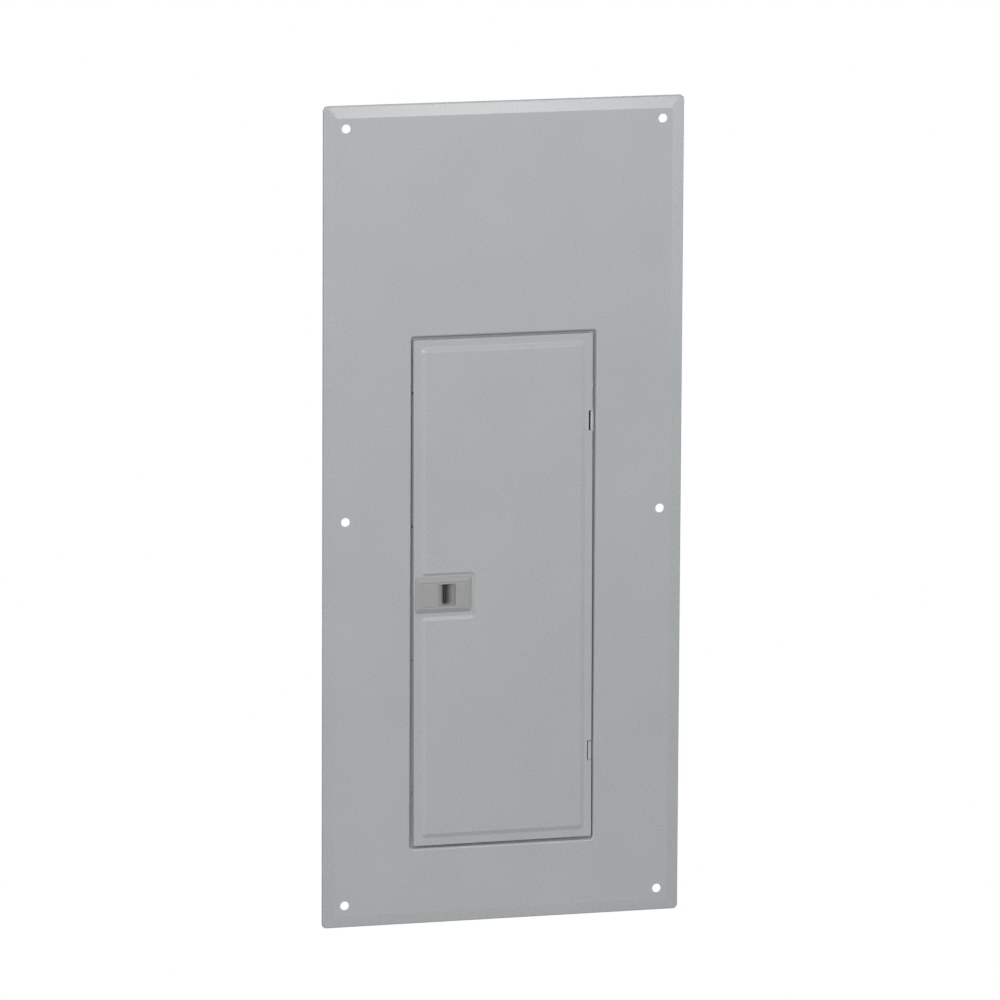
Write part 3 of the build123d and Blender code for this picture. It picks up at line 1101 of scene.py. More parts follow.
# ---------------------------------------------------------------- repeats
class Repeats:
    """Geometry Nodes trees that make what repeats, each turned into a plain mesh."""

    def __init__(self, name: str) -> None:
        """Start a tree whose first input is the geometry that it is put on.

        Args:
            name: the tree's name, which its result gets too.
        """
        self.tree = bpy.data.node_groups.new(name, "GeometryNodeTree")
        self.tree.is_modifier = True
        for way in ("INPUT", "OUTPUT"):
            self.tree.interface.new_socket(
                "Geometry", in_out=way, socket_type="NodeSocketGeometry"
            )
        self.values: dict[str, float] = {}

    def size(self, name: str, millimetres: float) -> None:
        """Add a named size to the tree's inputs."""
        self.number(name, millimetres * MM)

    def number(self, name: str, value: float) -> None:
        """Add a named number to the tree's inputs."""
        socket = self.tree.interface.new_socket(
            name, in_out="INPUT", socket_type="NodeSocketFloat"
        )
        self.values[socket.identifier] = value

    def inputs(self) -> bpy.types.NodeOutputs:
        """Return the tree's inputs, by name."""
        return add_node(self.tree, "NodeGroupInput").outputs

    def finish(
        self, geometry: Socket, base: bpy.types.Mesh, material: Material
    ) -> Object:
        """End the tree, run it on a mesh and return the plain result.

        Args:
            geometry: the tree's last output.
            base: the mesh that the tree is put on.
            material: the finish of the result.

        Returns:
            An object with a plain mesh and no modifier.
        """
        real = add_node(
            self.tree, "GeometryNodeRealizeInstances", inputs={"Geometry": geometry}
        )
        coat = {"Geometry": real, "Material": material}
        coated = add_node(self.tree, "GeometryNodeSetMaterial", inputs=coat)
        add_node(self.tree, "NodeGroupOutput", inputs={0: coated})
        maker = linked_object(f"{self.tree.name}_maker", base)
        modifier = maker.modifiers.new("repeats", "NODES")
        modifier.node_group = self.tree
        for identifier, value in self.values.items():
            modifier[identifier] = value
        data = plain_mesh(maker)
        data.name = self.tree.name
        smooth(data)
        return linked_object(self.tree.name, data)


def places_mesh(
    name: str, places: Sequence[Sequence[float]], **attributes: Sequence[float | Vector]
) -> bpy.types.Mesh:
    """Return a mesh of points for a tree to stand copies on.

    Args:
        name: the mesh's name.
        places: points in millimetres.
        attributes: one number or vector a point, under the name that the tree reads.

    Returns:
        A mesh of loose points.
    """
    data = bpy.data.meshes.new(name)
    data.from_pydata([Vector(place) * MM for place in places], [], [])
    for key, values in attributes.items():
        is_vector = isinstance(values[0], Vector)
        kind = "FLOAT_VECTOR" if is_vector else "FLOAT"
        attribute = data.attributes.new(key, kind, "POINT")
        for item, value in zip(attribute.data, values):
            if is_vector:
                item.vector = value
            else:
                item.value = value
    return data


@dataclass
class RivetSet:
    """Semi-tubular rivets, each with a low dome at the front and at the back."""

    head_radius: float = 1.3
    head_height: float = 0.8
    rim_height: float = 0.3
    sides: int = 24
    rings: int = 5

    def build(
        self,
        name: str,
        places: Sequence[Point],
        front: float,
        back: float,
        paint: Material,
    ) -> Object:
        """Return the heads of a set of rivets.

        Args:
            name: the piece's name.
            places: the rivets' centres.
            front: depth of the face that the front heads sit on.
            back: depth of the face that the back heads sit on.
            paint: the rivets' finish.

        Returns:
            One piece with all the heads.
        """
        repeats = Repeats(name)
        repeats.size("Head Radius", self.head_radius)
        repeats.size("Rim Height", self.rim_height)
        repeats.size("Dome Height", self.head_height - self.rim_height)
        tree, given = repeats.tree, repeats.inputs()
        size = {"Radius": given["Head Radius"], "Depth": given["Rim Height"]}
        drum = add_node(
            tree,
            "GeometryNodeMeshCylinder",
            {"fill_type": "TRIANGLE_FAN"},
            {"Vertices": self.sides, "Fill Segments": self.rings, **size},
        )
        # The dome falls with the square of the distance from its middle.
        position = add_node(tree, "GeometryNodeInputPosition")
        axes = add_node(tree, "ShaderNodeSeparateXYZ", inputs={0: position}).outputs
        flat = add_node(tree, "ShaderNodeCombineXYZ", inputs={0: axes["X"], 1: axes["Y"]})
        reach = add_node(tree, "ShaderNodeVectorMath", {"operation": "LENGTH"}, {0: flat})
        ratio = {0: reach.outputs["Value"], 1: given["Head Radius"]}
        share = add_node(tree, MATHS, {"operation": "DIVIDE"}, ratio)
        square = add_node(tree, MATHS, {"operation": "MULTIPLY"}, {0: share, 1: share})
        fall = add_node(tree, MATHS, {"operation": "SUBTRACT"}, {0: 1.0, 1: square})
        rise = add_node(tree, MATHS, {"operation": "MULTIPLY"}, {0: fall, 1: given["Dome Height"]})
        lift = add_node(tree, "ShaderNodeCombineXYZ", inputs={2: rise})
        crown = {"Geometry": drum, "Selection": drum.outputs["Top"], "Offset": lift}
        dome = add_node(tree, "GeometryNodeSetPosition", inputs=crown)
        half = add_node(tree, MATHS, {"operation": "DIVIDE"}, {0: given["Rim Height"], 1: 2.0})
        seat = add_node(tree, "ShaderNodeCombineXYZ", inputs={2: half})
        lifted = {"Geometry": dome, "Translation": seat}
        seated = add_node(tree, "GeometryNodeTransform", inputs=lifted)
        facing = add_node(
            tree, "GeometryNodeInputNamedAttribute", {"data_type": "FLOAT"}, {"Name": "facing"}
        )
        angle = {0: facing.outputs["Attribute"], 1: math.pi / 2}
        quarter = add_node(tree, MATHS, {"operation": "MULTIPLY"}, angle)
        turn = add_node(tree, "ShaderNodeCombineXYZ", inputs={0: quarter})
        copies = {"Points": given["Geometry"], "Instance": seated, "Rotation": turn}
        stand = add_node(tree, "GeometryNodeInstanceOnPoints", inputs=copies)
        seats = [(x, front, z) for x, z in places] + [(x, back, z) for x, z in places]
        sides = [1.0] * len(places) + [-1.0] * len(places)
        base = places_mesh(f"{name}_places", seats, facing=sides)
        return repeats.finish(stand.outputs["Instances"], base, paint)


@dataclass
class Ruling:
    """Printed lines, each a thin bar that stands on a sheet."""

    def build(
        self, name: str, bars: Sequence[tuple[Vector, Vector]], ink: Material
    ) -> Object:
        """Return the lines as one piece.

        Args:
            name: the piece's name.
            bars: each line's centre and size in millimetres.
            ink: the lines' finish.

        Returns:
            One piece with all the lines.
        """
        repeats = Repeats(name)
        tree, given = repeats.tree, repeats.inputs()
        bar = add_node(tree, "GeometryNodeMeshCube", inputs={"Size": (1.0, 1.0, 1.0)})
        size = add_node(
            tree,
            "GeometryNodeInputNamedAttribute",
            {"data_type": "FLOAT_VECTOR"},
            {"Name": "bar_size"},
        )
        copies = {"Points": given["Geometry"], "Instance": bar.outputs["Mesh"]}
        copies["Scale"] = size.outputs["Attribute"]
        stand = add_node(tree, "GeometryNodeInstanceOnPoints", inputs=copies)
        base = places_mesh(
            f"{name}_places",
            [centre for centre, _ in bars],
            bar_size=[size * MM for _, size in bars],
        )
        return repeats.finish(stand.outputs["Instances"], base, ink)


@dataclass
class CoilSpring:
    """A compression spring whose first and last turns are closed."""

    turns: int = 5
    wire_diameter: float = 0.6
    closed_pitch: float = 1.1
    steps_per_turn: int = 24
    wire_sides: int = 10

    def build(self, name: str, box: Box, paint: Material) -> Object:
        """Wind the spring.

        Args:
            name: the piece's name.
            box: the room that it fills, along X.
            paint: its finish.

        Returns:
            The spring.
        """
        length = box.size.x - self.wire_diameter
        closed = self.wire_diameter * self.closed_pitch
        repeats = Repeats(name)
        repeats.size("Coil Radius", (box.size.z - self.wire_diameter) / 2)
        repeats.size("Wire Radius", self.wire_diameter / 2)
        repeats.size("Length", length)
        repeats.size("Closed Turn", closed)
        repeats.size("Open Length", length - 2 * closed)
        repeats.number("Turns", float(self.turns))
        repeats.number("First", 1 / self.turns)
        repeats.number("Last", 1 - 1 / self.turns)
        tree, given = repeats.tree, repeats.inputs()
        coil = add_node(
            tree,
            "GeometryNodeCurveSpiral",
            inputs={
                "Resolution": self.steps_per_turn,
                "Rotations": given["Turns"],
                "Start Radius": given["Coil Radius"],
                "End Radius": given["Coil Radius"],
                "Height": given["Length"],
            },
        )
        share = add_node(tree, "GeometryNodeSplineParameter").outputs["Factor"]
        along = None
        for start, end, reach in (
            (0.0, given["First"], given["Closed Turn"]),
            (given["First"], given["Last"], given["Open Length"]),
            (given["Last"], 1.0, given["Closed Turn"]),
        ):
            stretch = {"Value": share, "From Min": start, "From Max": end, "To Max": reach}
            rise = add_node(tree, "ShaderNodeMapRange", inputs=stretch)
            if along is not None:
                rise = add_node(tree, MATHS, {"operation": "ADD"}, {0: along, 1: rise})
            along = rise
        position = add_node(tree, "GeometryNodeInputPosition")
        axes = add_node(tree, "ShaderNodeSeparateXYZ", inputs={0: position}).outputs
        laid_down = {0: along, 1: axes["X"], 2: axes["Y"]}
        place = add_node(tree, "ShaderNodeCombineXYZ", inputs=laid_down)
        path = {"Geometry": coil, "Position": place}
        laid = add_node(tree, "GeometryNodeSetPosition", inputs=path)
        ring = {"Resolution": self.wire_sides, "Radius": given["Wire Radius"]}
        wire = add_node(tree, "GeometryNodeCurvePrimitiveCircle", inputs=ring)
        sweep = {"Curve": laid, "Profile Curve": wire, "Fill Caps": True}
        drawn = add_node(tree, "GeometryNodeCurveToMesh", inputs=sweep)
        end = Vector((box.low.x + self.wire_diameter / 2, box.centre.y, box.centre.z)) * MM
        shift = {"Geometry": drawn, "Translation": end}
        moved = add_node(tree, "GeometryNodeTransform", inputs=shift)
        base = places_mesh(f"{name}_places", [(0.0, 0.0, 0.0)])
        return repeats.finish(moved.outputs["Geometry"], base, paint)


# ---------------------------------------------------------------- print
class Facing(Enum):
    """The way that a printed surface faces."""

    ROOM = 1
    WALL = -1

    @property
    def turn(self) -> Matrix:
        """Turn flat text so that it stands up and faces this way.

        Returns:
            The turn.
        """
        upright = Matrix.Rotation(math.pi / 2, 4, "X")
        if self is Facing.ROOM:
            return upright
        return Matrix.Rotation(math.pi, 4, "Z") @ upright


@dataclass
class Numerals:
    """Plain printed numbers, as thin raised figures."""

    height: float = 3.2
    thickness: float = 0.02
    cap_share: float = 0.7
    curve_steps: int = 3

    def figure(self, number: int) -> bpy.types.Mesh:
        """Make one number as a flat mesh.

        Args:
            number: the number.

        Returns:
            The mesh, centred on the origin.
        """
        curve = bpy.data.curves.new(f"figure_{number}", "FONT")
        curve.body = str(number)
        curve.align_x, curve.align_y = "CENTER", "CENTER"
        curve.size = self.height * MM / self.cap_share
        curve.extrude = self.thickness * MM / 2
        curve.resolution_u = self.curve_steps
        return plain_mesh(linked_object(curve.name, curve))

    def build(
        self,
        name: str,
        entries: Mapping[int, Point],
        depth: float,
        facing: Facing,
    ) -> Object:
        """Return the numbers as one piece.

        Args:
            name: the piece's name.
            entries: each number's centre.
            depth: depth of the sheet's face that they are printed on.
            facing: the way that the face looks.

        Returns:
            One piece with all the numbers.
        """
        mesh = bmesh.new()
        front = depth - facing.value * self.thickness / 2
        for number, (x, z) in entries.items():
            data = self.figure(number)
            data.transform(Matrix.Translation(Vector((x, front, z)) * MM) @ facing.turn)
            mesh.from_mesh(data)
            bpy.data.meshes.remove(data)
        bmesh.ops.remove_doubles(mesh, verts=mesh.verts, dist=PRINT_MERGE_DISTANCE)
        data = bpy.data.meshes.new(name)
        mesh.to_mesh(data)
        mesh.free()
        return linked_object(name, data)


# ---------------------------------------------------------------- hinges
@dataclass
class HingeSet:
    """Two riveted butt hinges: rolled straps on the cover, brackets and pins on the door."""

    barrel_radius: float = 2.4
    bore_radius: float = 1.05
    foot_bend: float = 0.7
    curl: float = 235.0
    pin_radius: float = 1.0
    head_radius: float = 1.35
    head_height: float = 0.7
    bracket_edge: float = 0.2
    rivet_offset: float = 6.0
    inside_bend: float = 0.3
    head_rim_share: float = 0.55
    barrel_steps: int = 32
    dome_steps: int = 5
    pin_sides: int = 24
    rivets: RivetSet = field(default_factory=RivetSet)

    def axis(self, name: str) -> Point:
        """Return a hinge's axis as (width, depth)."""
        pin = Box.of(f"hinge_pin_{name}").centre
        return pin.x, pin.y

    def strap(self, name: str) -> Object:
        """Roll a strap: a foot, a tail up the recess wall and a barrel round the pin.

        Args:
            name: upper or lower.

        Returns:
            The strap.
        """
        box = Box.of(f"hinge_strap_{name}")
        x, y = self.axis(name)
        sheet = self.barrel_radius - self.bore_radius
        outer, inner = [], []
        for step in range(self.barrel_steps + 1):
            angle = math.radians(self.curl) * (1 - step / self.barrel_steps)
            ray = Vector((math.cos(angle), -math.sin(angle)))
            outer.append(tuple(Vector((x, y)) + ray * self.barrel_radius))
            inner.append(tuple(Vector((x, y)) + ray * self.bore_radius))
        foot_back = box.high.y
        foot_front = foot_back - sheet
        bend = rounded(
            [outer[-1], (x + self.barrel_radius, foot_back), (box.low.x, foot_back)],
            [0.0, self.foot_bend + sheet, 0.0],
            closed=False,
            segments=6,
        )[1:]
        inside = rounded(
            [(box.low.x, foot_front), (x + self.bore_radius, foot_front), inner[-1]],
            [0.0, self.inside_bend, 0.0],
            closed=False,
            segments=4,
        )[:-1]
        section = outer + bend + inside + inner[::-1]
        skin = Skin()
        low, high = skin.at_height(section, box.low.z), skin.at_height(section, box.high.z)
        skin.band(low, high)
        skin.fill(low)
        skin.fill(high)
        return skin.piece(f"hinge_strap_{name}_rolled")

    def pin(self, name: str) -> Object:
        """Turn a pin with a low dome on each end.

        Args:
            name: upper or lower.

        Returns:
            The pin.
        """
        box = Box.of(f"hinge_pin_{name}")
        centre = self.axis(name)
        dome = self.head_height * (1 - self.head_rim_share)
        profile = [(self.pin_radius, self.head_height), (self.head_radius, self.head_height)]
        profile += [
            (self.head_radius * math.cos(turn), dome * (1 - math.sin(turn)))
            for turn in quarter_turns(self.dome_steps)[:-1]
        ]
        levels = [(radius, box.low.z + rise) for radius, rise in reversed(profile)]
        levels += [(radius, box.high.z - rise) for radius, rise in profile]
        skin = Skin()
        loops = skin.wall(
            skin.at_height(circle(centre, radius, self.pin_sides), height)
            for radius, height in levels
        )
        skin.fill(loops[0])
        skin.fill(loops[-1])
        return skin.piece(f"hinge_pin_{name}_domed")

    def build(self, paints: Paintbox) -> None:
        """Make both hinges and dress them.

        Args:
            paints: the finishes.
        """
        places = []
        for name in ("upper", "lower"):
            strap_node = f"hinge_strap_{name}"
            dress_piece(self.strap(name), paints.zinc, Body.COVER, Slot.ZINC, strap_node)
            bracket = f"door_hinge_bracket_{name}"
            for piece, node in (
                (self.pin(name), f"hinge_pin_{name}"),
                (softened(bracket, self.bracket_edge), bracket),
            ):
                dress_piece(piece, paints.dull_zinc, Body.DOOR, Slot.ZINC, node)
            height = Box.of(strap_node).centre.z
            rivet_x = Box.of("hinge_rivets").centre.x
            places += [(rivet_x, height + side * self.rivet_offset) for side in (-1, 1)]
        rivets = Box.of("hinge_rivets")
        heads = self.rivets.build(
            "hinge_rivets_domed",
            places,
            rivets.low.y + self.rivets.head_height,
            rivets.high.y - self.rivets.head_height,
            paints.zinc,
        )
        dress_piece(heads, paints.zinc, Body.COVER, Slot.ZINC, "hinge_rivets")


# ---------------------------------------------------------------- latch
@dataclass
class LatchAssembly:
    """The sliding latch: housing with a bezel, dished slide, spring and back cover."""

    edge_radius: float = 0.35
    cut_depth: float = 0.035
    bezel_width: float = 61.0
    bezel_slope: float = 4.6
    bezel_rim: float = 0.7
    bezel_corner_radius: float = 2.2
    crest_radius: float = 0.5
    rim_bend: float = 0.25
    land: float = 1.0
    wall_thickness: float = 1.6
    cavity_corner_radius: float = 0.2
    face_thickness: float = 1.8
    groove_frame_width: float = 47.8
    groove_frame_height: float = 26.4
    groove_width: float = 0.5
    groove_depth: float = 0.35
    groove_bar_shift: float = 8.6
    gate_mark_diameter: float = 6.6
    gate_mark_shift: float = 18.4
    gate_mark_depth: float = 0.12
    window_width: float = 18.4
    window_height: float = 23.0
    window_shift: float = 3.0
    window_edge: float = 0.25
    window_corner_radius: float = 0.6
    scoop_width: float = 18.0
    scoop_height: float = 22.4
    scoop_fall: float = 7.6
    scoop_start_depth: float = 3.4
    scoop_added_depth: float = 4.2
    scoop_rise: float = 1.15
    scoop_bend: float = 4.0
    scoop_end_radius: float = 2.6
    scoop_columns: int = 44
    scoop_rows: int = 36
    slide_edge: float = 0.4
    slide_corner_radius: float = 0.8
    bolt_height: float = 14.0
    bolt_thickness: float = 2.0
    bolt_reach: float = 3.0
    bolt_front: float = 7.4
    bolt_root: float = 0.5
    bolt_corner_radius: float = 0.6
    peg_radius: float = 1.8
    peg_length: float = 3.0
    peg_edge: float = 0.3
    peg_sides: int = 24
    slide_travel: float = 5.0
    spring: CoilSpring = field(default_factory=CoilSpring)

    def __post_init__(self) -> None:
        """Take the places of the bezel and of the body behind the door from the part."""
        housing = Box.of("latch_housing")
        self.centre = (housing.high.x - self.bezel_width / 2, housing.centre.z)
        self.window_centre = (self.centre[0] + self.window_shift, self.centre[1])
        self.face = housing.low.y
        self.bezel_height = housing.size.z

    def bezel_outline(self, inset: float) -> Outline:
        """Return the bezel's outline, drawn in from its foot by inset."""
        return rectangle(
            self.centre,
            self.bezel_width - 2 * inset,
            self.bezel_height - 2 * inset,
            self.bezel_corner_radius - inset * self.bezel_rim / self.bezel_slope,
        )

    def grooves(self, skin: Skin) -> tuple[Loop, Loop, Loop]:
        """Add the parting grooves, a frame with a bar across it.

        Args:
            skin: the skin that they are added to.

        Returns:
            The frame's outer loop, and the edges of the two fields inside it.
        """
        x, z = self.centre
        floor = self.face + self.groove_depth
        inner_height = self.groove_frame_height - 2 * self.groove_width
        left = x - self.groove_frame_width / 2 + self.groove_width
        right = x + self.groove_frame_width / 2 - self.groove_width
        bar_left = x - self.groove_bar_shift - self.groove_width / 2
        bar_right = bar_left + self.groove_width
        draft = self.groove_width / 4
        rims: list[Loop] = []
        floors: list[Loop] = []
        for middle, width, height, growth in (
            (x, self.groove_frame_width, self.groove_frame_height, 2 * draft),
            ((left + bar_left) / 2, bar_left - left, inner_height, -2 * draft),
            ((bar_right + right) / 2, right - bar_right, inner_height, -2 * draft),
        ):
            for out, depth, loops in ((growth, self.face, rims), (0.0, floor, floors)):
                edge = rectangle((middle, z), width + out, height + out, self.groove_width)
                loops.append(skin.at_depth(edge, depth))
            skin.band(rims[-1], floors[-1])
        skin.fill(*floors)
        return rims[0], rims[1], rims[2]

    def bezel(self) -> Object:
        """Build the bezel: sloped sides, parting grooves, a window and a gate mark.

        Returns:
            The bezel, with the mouth of the cavity behind it.
        """
        skin = Skin()
        section = rounded(
            [
                (0.0, 0.0),
                (0.0, -self.bezel_rim),
                (self.bezel_slope, self.face),
                (self.bezel_slope + self.land, self.face),
            ],
            [0.0, self.rim_bend, self.crest_radius, 0.0],
            closed=False,
            segments=5,
        )[:-1]
        outer = skin.wall(
            skin.at_depth(self.bezel_outline(inset), depth) for inset, depth in section
        )
        frame_edge, left_field, right_field = self.grooves(skin)
        skin.fill(outer[-1], frame_edge)
        skin.fill(left_field)
        levels = eased(self.window_edge) + [(0.0, self.face_thickness)]
        window = skin.wall(
            skin.at_depth(
                rectangle(
                    self.window_centre,
                    self.window_width + 2 * out,
                    self.window_height + 2 * out,
                    self.window_corner_radius + out,
                ),
                self.face + depth,
            )
            for out, depth in levels
        )
        mark_place = (self.centre[0] + self.gate_mark_shift, self.centre[1])
        mark_radius = self.gate_mark_diameter / 2
        mark = skin.wall(
            skin.at_depth(circle(mark_place, mark_radius - step), self.face + step)
            for step in (0.0, self.gate_mark_depth)
        )
        skin.fill(mark[-1])
        skin.fill(right_field, window[0], mark[0])
        body = Box.of("latch_back_cover")
        cavity = rectangle(
            (body.centre.x, body.centre.z),
            body.size.x - 2 * self.wall_thickness,
            body.size.z - 2 * self.wall_thickness,
            self.cavity_corner_radius,
        )
        roof = self.face + self.face_thickness
        sides = skin.wall(skin.at_depth(cavity, depth) for depth in (roof, 0.0))
        skin.fill(sides[0], window[-1])
        skin.fill(outer[0], sides[1])
        return skin.piece("latch_bezel")

    def housing(self) -> Object:
        """Build the housing: the bezel, and the body behind the door that it is one with.

        Returns:
            The housing.
        """
        mesh = cad_copy("latch_housing")
        cut = self.cut_depth * MM
        bmesh.ops.bisect_plane(
            mesh,
            geom=mesh.verts[:] + mesh.edges[:] + mesh.faces[:],
            plane_co=(0.0, cut, 0.0),
            plane_no=(0.0, 1.0, 0.0),
            clear_inner=True,
        )
        mouth = [edge for edge in mesh.edges if edge.is_boundary]
        for vert in {vert for edge in mouth for vert in edge.verts}:
            vert.co.y = 0.0
        bmesh.ops.triangle_fill(mesh, use_beauty=True, edges=mouth)
        soften(mesh, self.edge_radius, lambda edge: all(vert.co.y > cut for vert in edge.verts))
        bezel = self.bezel()
        mesh.from_mesh(bezel.data)
        bpy.data.objects.remove(bezel)
        return object_from(mesh, "latch_housing_finished")

    def scoop_level(self, across: float, up: float) -> float:
        """Return the finger scoop's depth: it falls ever steeper, and rises on the right.

        Args:
            across: place from the scoop's middle, to the right.
            up: place from the scoop's middle, upward.

        Returns:
            The depth below the slide's face.
        """
        half_width = self.scoop_width / 2
        share = (across + half_width) / self.scoop_fall
        falling = self.scoop_start_depth * share + self.scoop_added_depth * share**3
        rising = self.scoop_rise * (half_width - across)
        blend = max(0.0, 1 - abs(falling - rising) / self.scoop_bend)
        depth = min(falling, rising) - blend * blend * self.scoop_bend / 4
        past = abs(up) - self.scoop_height / 2 + self.scoop_end_radius
        end = max(0.0, past) / self.scoop_end_radius
        return max(0.0, depth) * math.sqrt(max(0.0, 1 - end * end))

    def scoop(self, skin: Skin, front: float) -> Loop:
        """Add the finger scoop, and return its edge.

        Args:
            skin: the skin that it is added to.
            front: depth of the slide's face.

        Returns:
            The loop round the scoop, which lies in the slide's face.
        """
        columns, rows = self.scoop_columns, self.scoop_rows
        x, z = self.window_centre
        half_width, half_height = self.scoop_width / 2, self.scoop_height / 2
        # Cosine spacing puts more points where the scoop's ends and its wall are steep.
        ups = [half_height * -math.cos(math.pi * row / rows) for row in range(rows + 1)]
        acrosses = [
            half_width * -math.cos(math.pi * column / columns) for column in range(columns + 1)
        ]
        grid = [
            skin.loop(
                (x + across, front + self.scoop_level(across, up), z + up)
                for across in acrosses
            )
            for up in ups
        ]
        for lower, upper in zip(grid, grid[1:]):
            for column in range(columns):
                skin.mesh.faces.new(
                    (lower[column], lower[column + 1], upper[column + 1], upper[column])
                )
        right = [row[-1] for row in grid[1:-1]]
        left = [row[0] for row in grid[1:-1]]
        return grid[0] + right + grid[-1][::-1] + left[::-1]

    def slide(self) -> Object:
        """Build the slide with its finger scoop, bolt and spring peg.

        Returns:
            The slide.
        """
        box = Box.of("latch_slide")
        left, right = box.low.x + self.bolt_reach, box.high.x - self.peg_length
        width, height, z = right - left, box.size.z, box.centre.z
        front, back = box.low.y, box.high.y
        levels = [(inset, front + depth) for inset, depth in eased(self.slide_edge)]
        levels += [(0.0, back - self.slide_edge), (self.slide_edge, back)]
        skin = Skin()
        sides = skin.wall(
            skin.at_depth(
                rectangle(
                    ((left + right) / 2, z),
                    width - 2 * inset,
                    height - 2 * inset,
                    self.slide_corner_radius,
                ),
                depth,
            )
            for inset, depth in levels
        )
        skin.fill(sides[-1])
        skin.fill(sides[0], self.scoop(skin, front))
        reach = self.bolt_reach + self.bolt_root
        bolt = rectangle(
            (box.low.x + reach / 2, z), reach, self.bolt_height, self.bolt_corner_radius
        )
        peg_depth = (front + back) / 2
        root, tip = (
            circle((peg_depth, z), radius, self.peg_sides)
            for radius in (self.peg_radius, self.peg_radius - self.peg_edge)
        )
        rings = (
            (right - self.peg_edge, root),
            (box.high.x - self.peg_edge, root),
            (box.high.x, tip),
        )
        for loops in (
            skin.wall(
                skin.at_depth(bolt, self.bolt_front + step)
                for step in (0.0, self.bolt_thickness)
            ),
            skin.wall(skin.loop((x, y, up) for y, up in ring) for x, ring in rings),
        ):
            skin.fill(loops[0])
            skin.fill(loops[-1])
        return skin.piece("latch_slide_dished")

    def build(self, paints: Paintbox) -> None:
        """Make the latch's pieces and dress them.

        Args:
            paints: the finishes.
        """
        dress_piece(self.housing(), paints.latch, Body.DOOR, Slot.LATCH, "latch_housing")
        dress_piece(self.slide(), paints.slide, Body.SLIDE, Slot.SLIDE, "latch_slide")
        coil = self.spring.build("latch_spring_coil", Box.of("latch_spring"), paints.wire)
        dress_piece(coil, paints.wire, Body.DOOR, Slot.SPRING, "latch_spring")
        room = Box.of("latch_spring")
        1 - self.slide_travel / room.size.x
        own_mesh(coil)
        back = softened("latch_back_cover", self.edge_radius)
        dress_piece(back, paints.latch, Body.DOOR, Slot.LATCH, "latch_back_cover")


# ---------------------------------------------------------------- dead front and its print
@dataclass
class DeadFront:
    """The riveted pan behind the door, its twist-outs and the numbers between them."""

    rows: int = 20
    pan_edge: float = 0.4
    plate_edge: float = 0.15
    numeral_height: float = 4.2
    rivet_rows: int = 4
    rivets: RivetSet = field(
        default_factory=lambda: RivetSet(head_height=0.4, rim_height=0.15)
    )

    def build(self, paints: Paintbox) -> None:
        """Make the dead front's pieces and dress them.

        Args:
            paints: the finishes.
        """
        pan = softened("dead_front", self.pan_edge)
        dress_piece(pan, paints.inner_enamel, Body.COVER, Slot.DEAD_FRONT, "dead_front")
        plates = ["main_breaker_twistout"]
        plates += [f"twistout_row_{row:02d}" for row in range(1, self.rows + 1)]
        for plate in plates:
            piece = softened(plate, self.plate_edge)
            dress_piece(piece, paints.inner_enamel, Body.COVER, Slot.DEAD_FRONT, plate)
        self.print_strips(paints)
        self.set_rivets(paints)

    def print_strips(self, paints: Paintbox) -> None:
        """Print the breaker spaces' numbers, odd on the left and even on the right.

        Args:
            paints: the finishes.
        """
        heights = [Box.of(f"twistout_row_{row:02d}").centre.z for row in range(1, self.rows + 1)]
        numerals = Numerals(self.numeral_height)
        for side, first in (("left", 1), ("right", 2)):
            node = f"number_strip_{side}"
            strip = Box.of(node)
            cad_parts[node].data.materials.clear()
            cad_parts[node].data.materials.append(paints.film)
            entries = {
                first + 2 * row: (strip.centre.x, height) for row, height in enumerate(heights)
            }
            figures = numerals.build(f"{node}_figures", entries, strip.low.y, Facing.ROOM)
            dress_piece(figures, paints.ink, Body.COVER, Slot.FILM)

    def set_rivets(self, paints: Paintbox) -> None:
        """Set the rivets that hold the pan to the ledge.

        Args:
            paints: the finishes.
        """
        box = Box.of("dead_front_rivets")
        radius, height = self.rivets.head_radius, self.rivets.head_height
        top, bottom = box.high.z - radius, box.low.z + radius
        pitch = (top - bottom) / (self.rivet_rows - 1)
        places = [
            (side * (box.high.x - radius), top - row * pitch)
            for row in range(self.rivet_rows)
            for side in (-1, 1)
        ]
        heads = self.rivets.build(
            "dead_front_rivets_domed", places, box.low.y + height, box.high.y - height, paints.zinc
        )
        dress_piece(heads, paints.zinc, Body.COVER, Slot.ZINC, "dead_front_rivets")


